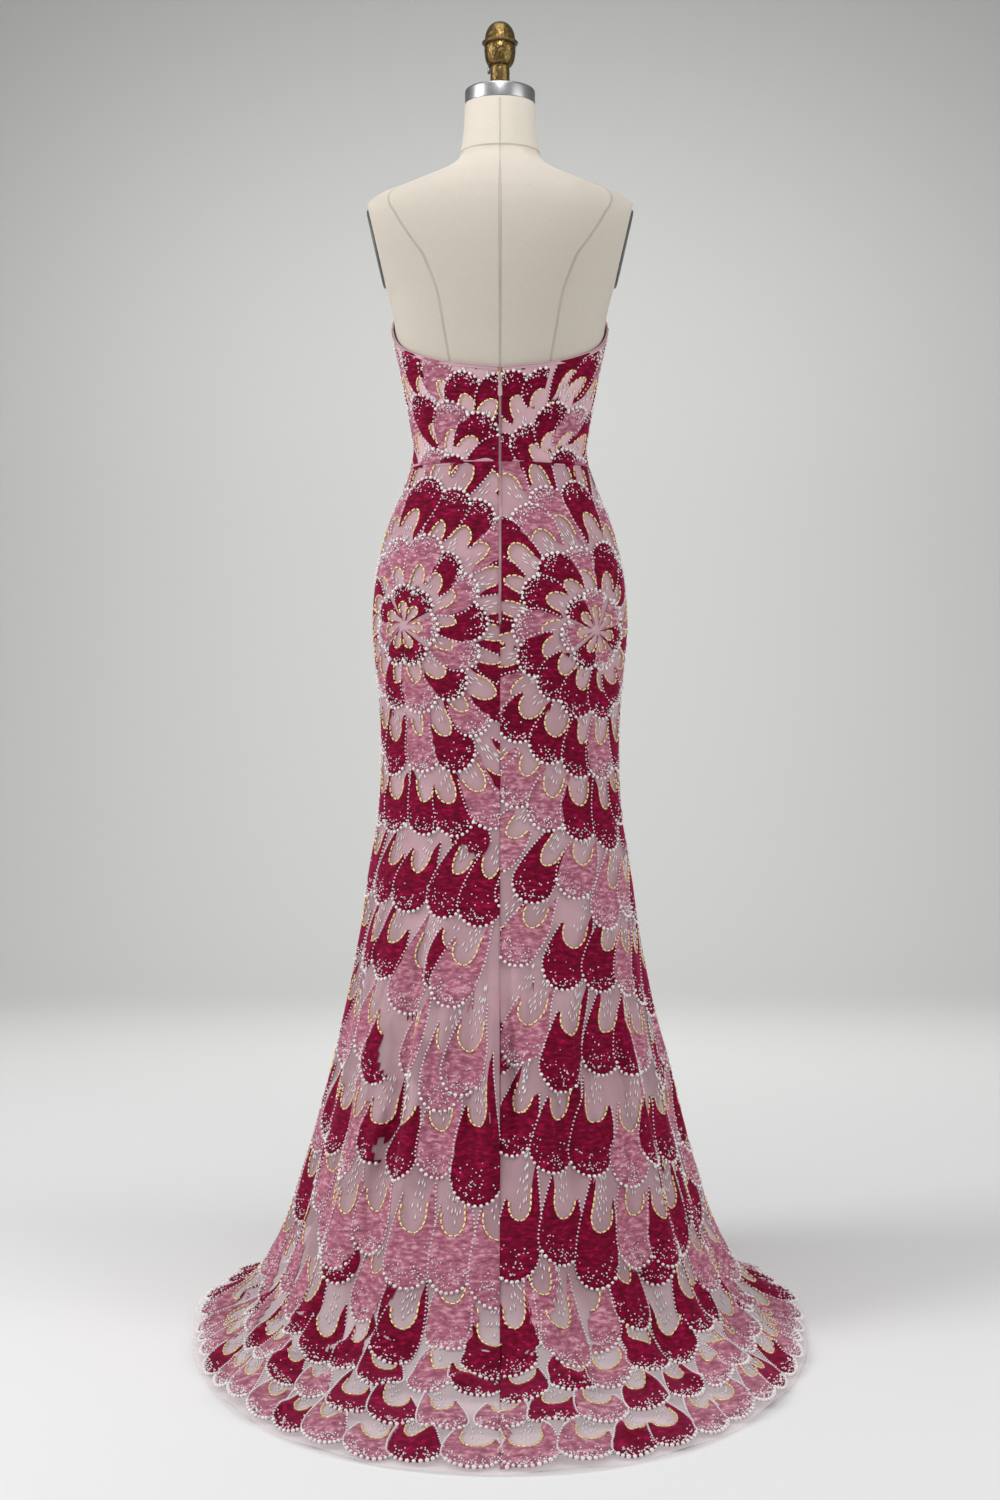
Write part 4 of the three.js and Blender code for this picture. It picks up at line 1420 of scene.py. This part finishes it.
def linen_material():
    """Linen with a thread weave that varies its tone"""
    material, tree, shader = new_material("linen_cover", Roughness=0.95, Sheen_Weight=0.15)
    shader.inputs["Specular IOR Level"].default_value = 0.15
    threads = noise(tree, place_vector(tree, (1, 1, 7)), 420, 2, 0.7)
    other_threads = noise(tree, place_vector(tree, (6, 6, 1)), 420, 2, 0.7)
    both = add_node(tree, "ShaderNodeMath", {"operation": "MAXIMUM"})
    tree.links.new(threads, both.inputs[0])
    tree.links.new(other_threads, both.inputs[1])
    shades = ((0.4, (0.56, 0.505, 0.43)), (0.72, (0.66, 0.61, 0.53)))
    add_base_colour(tree, shader, both.outputs["Value"], shades)
    add_bump(tree, shader, both.outputs["Value"], 0.35, 0.0006)
    return material


def steel_material(name, colour, roughness):
    """Steel with fine brush lines round the vertical axis"""
    material, tree, shader = new_material(name, Metallic=1.0)
    lines = noise(tree, place_vector(tree, (6, 6, 160)), 14, 4, 0.7)
    add_tone(tree, shader, lines, colour, 0.78)
    spread = map_range(tree, lines, To_Min=roughness - 0.06, To_Max=roughness + 0.1)
    tree.links.new(spread, shader.inputs["Roughness"])
    return material


def knob_material():
    """Antique gold with small dents and darker hollows"""
    material, tree, shader = new_material("knob_brass", Metallic=1.0, Roughness=0.36)
    vector = place_vector(tree)
    dents = add_node(tree, "ShaderNodeTexVoronoi", {"feature": "SMOOTH_F1"}, Scale=330.0)
    tree.links.new(vector, dents.inputs["Vector"])
    shades = ((0.1, (0.25, 0.17, 0.07)), (0.55, (0.13, 0.085, 0.03)))
    add_base_colour(tree, shader, dents.outputs["Distance"], shades)
    add_bump(tree, shader, dents.outputs["Distance"], 0.6, 0.0012)
    return material


def painted_material(name, colour, roughness, metallic):
    """Paint with faint orange-peel and small differences of tone"""
    material, tree, shader = new_material(name, Roughness=roughness, Metallic=metallic)
    add_tone(tree, shader, noise(tree, place_vector(tree), 26, 3), colour, 0.84)
    add_bump(tree, shader, noise(tree, place_vector(tree), 500, 2), 0.1, 0.0003)
    return material


def make_materials():
    dark_shades = ((0.34, (0.085, 0.0005, 0.01)), (0.55, (0.19, 0.001, 0.025)), (0.72, (0.42, 0.004, 0.085)))
    rose_shades = ((0.34, (0.26, 0.075, 0.12)), (0.52, (0.43, 0.15, 0.215)), (0.70, (0.74, 0.40, 0.48)))
    return {
        "beaded_net": net_material(),
        "satin_lining": satin_material("satin_lining", (0.54, 0.31, 0.35), (0.64, 0.39, 0.43), 0.36),
        "bodice_cloth": satin_material("bodice_cloth", (0.60, 0.35, 0.40), (0.70, 0.46, 0.50), 0.45),
        "dark_velvet": velvet("dark_velvet", dark_shades, (1.0, 0.1, 0.35), 0.55),
        "rose_velvet": velvet("rose_velvet", rose_shades, (1.0, 0.72, 0.8), 0.3),
        "pearl": bead_material("pearl", (0.96, 0.92, 0.92), 0.25, 0.0, 0.6),
        "bugle_gold": bead_material("bugle_gold", (0.95, 0.74, 0.36), 0.3, 0.35, 0.4),
        "clear_bead": bead_material("clear_bead", (0.97, 0.95, 0.96), 0.2, 0.1, 0.6),
        "zip_metal": painted_material("zip_metal", (0.86, 0.62, 0.64), 0.28, 0.4),
        "linen_cover": linen_material(),
        "linen_seam": painted_material("linen_seam", (0.52, 0.465, 0.395), 0.95, 0.0),
        "collar_steel": steel_material("collar_steel", (0.42, 0.42, 0.43), 0.34),
        "knob_brass": knob_material(),
        "arm_plate": painted_material("arm_plate", (0.13, 0.15, 0.145), 0.42, 0.3),
        "pole_steel": steel_material("pole_steel", (0.55, 0.55, 0.55), 0.3),
        "base_iron": painted_material("base_iron", (0.03, 0.03, 0.032), 0.5, 0.2),
    }


materials = make_materials()


# The gown

def declare_cloth(panel, trims):
    """Works out the area of a hung piece in square metres, which nothing uses"""
    area = panel.area() * MM * MM


HIP_CENTRES = {"back_left": (0.52, 0), "front": (0.5, 0), "back_right": (0.48, 6)}
BODICE_CENTRES = {"back_left": 0.5, "front": 0.5, "back_right": 0.46}
WAIST_TO_HIP = 232
FRONT_LEANS = (0, 0, 0, 0.1, 0.42, 0.36, 0.26, 0.18, 0.12, 0.08, 0.05)
BODICE_CENTRE_BELOW = 45
OVER_HEM_ROWS = 50
WHOLE_BODICE = -900
SEEDS = {"skirt": 20, "bodice": 40, "hem": 60, "bare": 80}


def build_gown():
    for number, name in enumerate(PANELS):
        lining = lining_panel(name)
        lining_piece = on_root(
            sheet_object(lining, materials["satin_lining"]), (f"lining_{name}",)
        )
        declare_cloth(lining, [])
        skirt = skirt_panel(name)
        skirt_piece = on_root(
            sheet_object(skirt, materials["beaded_net"]), (f"skirt_{name}",)
        )
        trim = Trim(skirt)
        share, lower = HIP_CENTRES[name]
        centre = (share * skirt.columns, WAIST_TO_HIP + lower)
        fronts = skirt_fronts(skirt, centre)
        room = HEM_MARGIN + (HEM_ROWS - 1) * HEM_STEP - OVER_HEM_ROWS
        petals = spread_petals(skirt, centre, fronts, FRONT_LEANS, room, SEEDS["skirt"] + number)
        petals += hem_petals(skirt, petals[-1].order + 1, SEEDS["hem"] + number)
        trim.add_petals(petals + bare_petals(skirt, petals, SEEDS["bare"] + number))
        declare_cloth(skirt, trim.build(materials))
        bodice = bodice_panel(name)
        bodice_piece = on_root(
            sheet_object(bodice, materials["bodice_cloth"]), (f"bodice_{name}",)
        )
        trim = Trim(bodice)
        centre = bodice.base_at(BODICE_CENTRES[name] * bodice.columns, bodice.rows, BODICE_CENTRE_BELOW)
        seed = SEEDS["bodice"] + number
        trim.add_petals(spread_petals(bodice, centre, bodice_fronts(), (0,), WHOLE_BODICE, seed))
        trims = [*trim.build(materials), bodice_edges(bodice), *zip_edge(name)]
        declare_cloth(bodice, trims)


# The dress form

TORSO_COLUMNS = 120
TORSO_ROWS = 110
TORSO_MIDDLE = 1440
ARM_FLAT = {"at": 1520, "reach": 185, "slope": 0.227, "bottom": 1398, "top": 1532}


def torso_points(angle, z, out=0.0):
    sizes = {name: form_column(name, z) + out for name in ("side", "front", "back")}
    points = ring_points(z=z, middle=0, cup=form_column("cup", z), angle=angle, **sizes)
    reach = ARM_FLAT["reach"] - ARM_FLAT["slope"] * (ARM_FLAT["at"] - z) + out
    in_flat = (z > ARM_FLAT["bottom"]) & (z < ARM_FLAT["top"])
    limit = np.where(in_flat, reach, 1e4)
    points[..., 0] = np.clip(points[..., 0], -limit, limit)
    return points


def build_torso():
    angle = full_turn(TORSO_COLUMNS)
    heights = (NECK_TOP, TORSO_MIDDLE, FORM_BOTTOM)
    z = np.interp(np.linspace(0, 1, TORSO_ROWS + 1), (0, 0.5, 1), heights)[None, :]
    points = torso_points(angle, z + np.zeros_like(angle))
    faces = grid_faces(TORSO_COLUMNS, TORSO_ROWS, closed=True)
    piece = new_object("form_torso_cover", points.reshape(-1, 3), faces, materials["linen_cover"])
    on_root(piece, ("form_torso",))
    build_seams()


# Seams on the torso, as (degrees, height) marks that their lines pass through
CENTRE_SEAMS = (
    ((0, 1664), (0, 1600), (0, 1480), (0, 1380), (0, 1270)),
    ((180, 1664), (180, 1600), (180, 1480), (180, 1360)),
)
SIDE_SEAMS = (
    ((60, 1548), (46, 1500), (36, 1440), (33, 1380), (31, 1330), (30, 1280)),
    ((118, 1548), (136, 1500), (145, 1440), (148, 1380)),
    ((64, 1597), (86, 1560), (90, 1535)),
)
ROUND_SIDES = 96
SEAM_STATIONS = 60
NECK_FOOT = 1598
SEAM_PROFILE = ((-1.3, 0.05), (-0.6, 0.42), (0, -0.1), (0.6, 0.42), (1.3, 0.05))


def seam_strip(marks):
    """A pressed-open seam: two soft ridges beside a fine groove"""
    stations = np.linspace(0, 1, SEAM_STATIONS)
    shares = np.linspace(0, 1, len(marks))
    degrees, z = (np.interp(stations, shares, values) for values in zip(*marks))
    angle = np.radians(degrees)
    columns = []
    for offset, height in SEAM_PROFILE:
        columns.append(torso_points(angle + offset / 100, z, height))
    points = np.stack(columns, axis=0)
    return points.reshape(-1, 3), grid_faces(len(SEAM_PROFILE) - 1, SEAM_STATIONS - 1)


def neck_seam():
    """The seam round the foot of the neck"""
    angle = full_turn(ROUND_SIDES)
    heights = np.array([offset for offset, _ in SEAM_PROFILE])[::-1][None, :]
    out = np.array([height for _, height in SEAM_PROFILE])[None, :]
    points = torso_points(angle, NECK_FOOT + heights + np.zeros_like(angle))
    outward = points.copy()
    outward[..., 2] = 0
    outward /= np.linalg.norm(outward, axis=-1, keepdims=True)
    points = points + outward * (out + 0.15)[..., None]
    return points.reshape(-1, 3), grid_faces(ROUND_SIDES, len(SEAM_PROFILE) - 1, closed=True)


def build_seams():
    parts = [seam_strip(marks) for marks in CENTRE_SEAMS] + [neck_seam()]
    for marks in SIDE_SEAMS:
        parts += [seam_strip([(side * degrees, z) for degrees, z in marks]) for side in (1, -1)]
    points, faces = join_parts(parts)
    piece = new_object("form_seams", points, faces, materials["linen_seam"])
    on_root(piece)


def turned_piece(name, profile, sides, material, stands_for):
    """A piece turned round the vertical axis, from radii and heights listed from the bottom up"""
    profile = np.array(profile, float)[::-1]
    angle = full_turn(sides)
    radius = profile[:, 0][None, :]
    x = radius * np.sin(angle)
    y = radius * np.cos(angle)
    z = profile[:, 1][None, :] + np.zeros_like(angle)
    points = np.stack([x, y, z], axis=-1).reshape(-1, 3)
    faces = grid_faces(sides, len(profile) - 1, closed=True)
    return on_root(new_object(name, points, faces, material), stands_for)


def arc_profile(centre, radius, start, end, steps=6):
    """Points of a quarter or other part of a circle in (radius, height), angles in degrees"""
    turns = np.radians(np.linspace(start, end, steps))
    return [(centre[0] + radius * math.cos(t), centre[1] + radius * math.sin(t)) for t in turns]


def build_collar():
    low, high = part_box("form_collar")
    radius = high.x / MM
    bottom = low.z / MM
    top = high.z / MM
    profile = [(radius - 0.8, bottom)]
    profile += arc_profile((radius - 0.8, bottom + 0.8), 0.8, -60, 0, 4)
    profile += arc_profile((radius - 3.5, top - 3.5), 3.5, 0, 90, 8)
    profile += [(14.5, top), (14.2, top - 0.5)]
    steel = materials["collar_steel"]
    turned_piece("form_collar_ring", profile, ROUND_SIDES, steel, ("form_collar",))


def build_knob():
    low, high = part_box("form_knob")
    radius = high.x / MM
    bottom = low.z / MM
    top = high.z / MM
    stem = 13.5
    flare = 1722
    shoulder = 1746
    profile = [(0.01, bottom), (stem - 0.6, bottom), (stem, bottom + 0.8)]
    groove = stem - 0.7
    profile += [(stem, bottom + 3), (groove, bottom + 3.8), (groove, bottom + 5), (stem, bottom + 5.8)]
    profile += [(stem, flare - 4)]
    for turn in np.linspace(0, math.pi / 2, 10):
        out = stem + (radius - stem) * math.sin(turn)
        profile.append((out, flare + (shoulder - flare) * (1 - math.cos(turn))))
    profile += [(radius, top - 1), (radius - 1, top), (0.01, top)]
    turned_piece("form_knob_body", profile, 72, materials["knob_brass"], ("form_knob",))
    low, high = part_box("form_knob_cap")
    lip = high.x / MM
    bottom = low.z / MM
    top = high.z / MM
    profile = [(0.01, bottom), (lip - 0.8, bottom)]
    profile += arc_profile((lip - 1.6, bottom + 1.7), 1.6, -60, 70, 7)
    profile += [(22.6, bottom + 3.7)]
    dome = 21.5
    foot = bottom + 4.4
    for turn in np.linspace(0, math.pi / 2 - 0.02, 14):
        profile.append((dome * math.cos(turn) ** 0.85, foot + (top - foot) * math.sin(turn)))
    turned_piece("form_knob_dome", profile, 72, materials["knob_brass"], ("form_knob_cap",))


def build_screw():
    """A cheese-head screw along X with a slot, and its thread behind it"""
    low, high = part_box("form_knob_screw")
    centre = (low + high) / 2 / MM
    radius = (high.y - low.y) / 2 / MM
    start = low.x / MM
    end = high.x / MM
    sides = 32
    angle = full_turn(sides)
    edge = 0.7
    outline = [(0.01, start), (radius, start), (radius, end - edge), (radius - edge, end), (0.01, end)]
    outline = np.array(outline)
    reach = outline[:, 0][None, :]
    y = centre.y + reach * np.cos(angle)
    z = centre.z + reach * np.sin(angle)
    x = outline[:, 1][None, :] + np.zeros_like(angle)
    slot_depth = np.where((np.abs(z - centre.z) < 0.6) & (x > end - 0.8), 1.0, 0)
    points = np.stack([x - slot_depth, y, z], axis=-1).reshape(-1, 3)
    faces = grid_faces(sides, len(outline) - 1, closed=True)
    piece = new_object("form_set_screw", points, faces, materials["collar_steel"])
    on_root(piece, ("form_knob_screw",))


def build_arm_plate(side, name):
    """An oval plate with a rolled edge, leaning with the arm's flat"""
    half_height = 56
    half_depth = 39
    thickness = 3.5
    rings = ((0.01, 1.0), (0.6, 1.0), (0.9, 0.96), (0.97, 0.8), (1.0, 0.4), (1.0, 0.05), (0.985, 0))
    sides = 64
    angle = full_turn(sides)
    share = np.array([r[0] for r in rings])[None, :]
    out = np.array([r[1] for r in rings])[None, :] * thickness + np.zeros_like(angle)
    up = half_height * share * np.cos(angle)
    y = half_depth * share * np.sin(angle)
    lean = math.atan(ARM_FLAT["slope"])
    middle = 1465
    reach = ARM_FLAT["reach"] - ARM_FLAT["slope"] * (ARM_FLAT["at"] - middle) + 0.4
    x = reach + out * math.cos(lean) + up * math.sin(lean)
    z = middle - out * math.sin(lean) + up * math.cos(lean)
    points = np.stack([side * x, y, z], axis=-1).reshape(-1, 3)
    faces = grid_faces(sides, len(rings) - 1, closed=True)
    if side < 0:
        faces = faces[:, ::-1]
    piece = new_object(f"form_arm_disc_{name}", points, faces, materials["arm_plate"])
    on_root(piece, (f"form_arm_plate_{name}",))


# Narrow folded strips over the gown's edges and seams, as (down, out) marks across them
BINDING = ((0.6, -1.6), (-0.5, -1.1), (-0.9, -0.1), (-0.4, 0.75), (1.2, 0.8), (4.2, 0.65), (4.8, 0.1))
WAIST_FOLD = ((-3.4, 0.1), (-1.1, 0.9), (-0.25, 0.75), (0, -0.2), (0.5, 0.6), (1.6, 0.7), (3.2, 0.1))


def edge_strip(points, normals, profile):
    """A strip along a line on the gown"""
    down = np.array([0, 0, -1.0])
    rows = [points + down * drop + normals * out for drop, out in profile]
    return np.stack(rows, axis=1).reshape(-1, 3), grid_faces(len(points) - 1, len(profile) - 1)


def bodice_edges(bodice):
    """The folded top edge and the waist seam's fold"""
    parts = [
        edge_strip(bodice.points[:, 0], bodice.normals[:, 0], BINDING),
        edge_strip(bodice.points[:, -1], bodice.normals[:, -1], WAIST_FOLD),
    ]
    points, faces = join_parts(parts)
    piece = new_object(f"{bodice.name}_edges", points, faces, materials["satin_lining"])
    return on_root(piece)


def build_form():
    build_torso()
    build_collar()
    build_knob()
    build_screw()
    build_arm_plate(1, "left")
    build_arm_plate(-1, "right")
    for node, slot in (("form_pole", "pole_steel"), ("form_base", "base_iron")):
        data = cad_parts[node].data
        data.materials.clear()
        data.materials.append(materials[slot])


# The zip

ZIP_FOLD = ((0.15, -1.4), (0.2, -0.5), (0.7, -0.1), (1.4, -0.3), (2.1, -0.9))
ZIP_SIDES = {"back_left": 1, "back_right": -1}


def zip_edge(name):
    """One of the zip's tapes, folded along the opening, as a list of one piece"""
    if name not in ZIP_SIDES:
        return []
    side = ZIP_SIDES[name]
    z = np.linspace(ZIP_TOP, ZIP_BOTTOM, 90)
    back = form_column("back", z) + GOWN_STAND_OFF
    columns = [np.stack([np.full_like(z, side * x), back + depth, z], axis=-1) for x, depth in ZIP_FOLD]
    points = np.stack(columns, axis=0)
    faces = grid_faces(len(columns) - 1, len(z) - 1)
    if side < 0:
        faces = faces[:, ::-1]
    short = name.split("_")[1]
    piece = new_object(f"zip_edge_{short}", points.reshape(-1, 3), faces, materials["bodice_cloth"])
    return [on_root(piece, (f"zip_tape_{short}",))]


def finish_zip():
    """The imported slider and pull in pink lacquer"""
    for node in ("zip_slider", "zip_pull"):
        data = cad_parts[node].data
        data.materials.clear()
        data.materials.append(materials["zip_metal"])


# Floor, light and camera

CAMERA_PLACE = (0, 2.934, 0.760)
LENS = 50
SENSOR = 36


def build_stage():
    """A pale floor that turns up into a backdrop far behind the form, its colour painted darker towards the
    backdrop as shade for the light's fall-off
    """
    wall = -5.2
    curve = 1.8
    profile = [(5, 0), (0, 0), (wall + curve, 0)]
    for turn in np.linspace(0, math.pi / 2, 16)[1:]:
        profile.append((wall + curve * (1 - math.sin(turn)), curve * (1 - math.cos(turn))))
    profile.append((wall, 7))
    points = np.array([(x, y, z) for x in (-9, 9) for y, z in profile]) / MM
    points[:, 2] -= 0.5
    material, tree, shader = new_material("studio_floor", Roughness=0.9)
    shader.inputs["Specular IOR Level"].default_value = 0.1
    # Painted shade: the colour darkens with distance behind the form, standing in for the light falling off
    depth = map_range(tree, object_axis(tree, "Y"), SMOOTH_STEP, From_Min=-3.8, From_Max=-0.6)
    add_base_colour(tree, shader, depth, ((0.0, (0.50, 0.50, 0.49)), (1.0, (0.92, 0.92, 0.92))))
    floor = new_object("studio_floor", points, grid_faces(1, len(profile) - 1), material)


# Area lights: name, place, aim, size, power in watts and spread in degrees
LIGHTS = (
    ("key", (3.0, 1.1, 2.1), (0, 0, 0.7), (1.3, 2.2), 70, 180),
    ("fill", (-2.8, 1.7, 1.5), (0, 0, 0.8), (1.8, 2.4), 40, 180),
    ("top", (0.1, 0.6, 3.6), (0, 0.2, 0.6), (1.6, 1.4), 28, 180),
    ("neck", (0, 1.3, 2.6), (0, 0, 1.74), (0.3, 0.3), 0.2, 14),
    ("wall", (-0.1, -2.6, 2.65), (-0.2, -5.2, 0.45), (3.6, 1.4), 82, 180),
)
WORLD_STRENGTH = 0.3


def add_light(name, place, aim, size, power, spread):
    light = bpy.data.lights.new(name, "AREA")
    light.shape = "RECTANGLE"
    light.size = size[0]
    light.size_y = size[1]
    light.energy = power
    light.spread = math.radians(spread)
    lamp = bpy.data.objects.new(name, light)
    lamp.location = place
    toward = Vector(aim) - Vector(place)
    lamp.rotation_euler = toward.to_track_quat("-Z", "Y").to_euler()
    bpy.context.scene.collection.objects.link(lamp)


def build_light():
    world = bpy.data.worlds.new("studio")
    bpy.context.scene.world = world
    world.use_nodes = True
    background = world.node_tree.nodes["Background"]
    background.inputs["Color"].default_value = (1, 1, 1, 1)
    background.inputs["Strength"].default_value = WORLD_STRENGTH
    for light in LIGHTS:
        add_light(*light)
    bpy.context.scene.view_settings.view_transform = "Standard"


def build_camera():
    data = bpy.data.cameras.new("photo_camera")
    data.sensor_fit = "VERTICAL"
    data.sensor_width = SENSOR
    data.sensor_height = SENSOR
    data.lens = LENS
    camera = bpy.data.objects.new("photo_camera", data)
    camera.location = CAMERA_PLACE
    camera.rotation_euler = (math.pi / 2, 0, math.pi)
    bpy.context.scene.collection.objects.link(camera)
    bpy.context.scene.camera = camera


build_camera()
build_form()
build_gown()
finish_zip()
build_stage()
build_light()
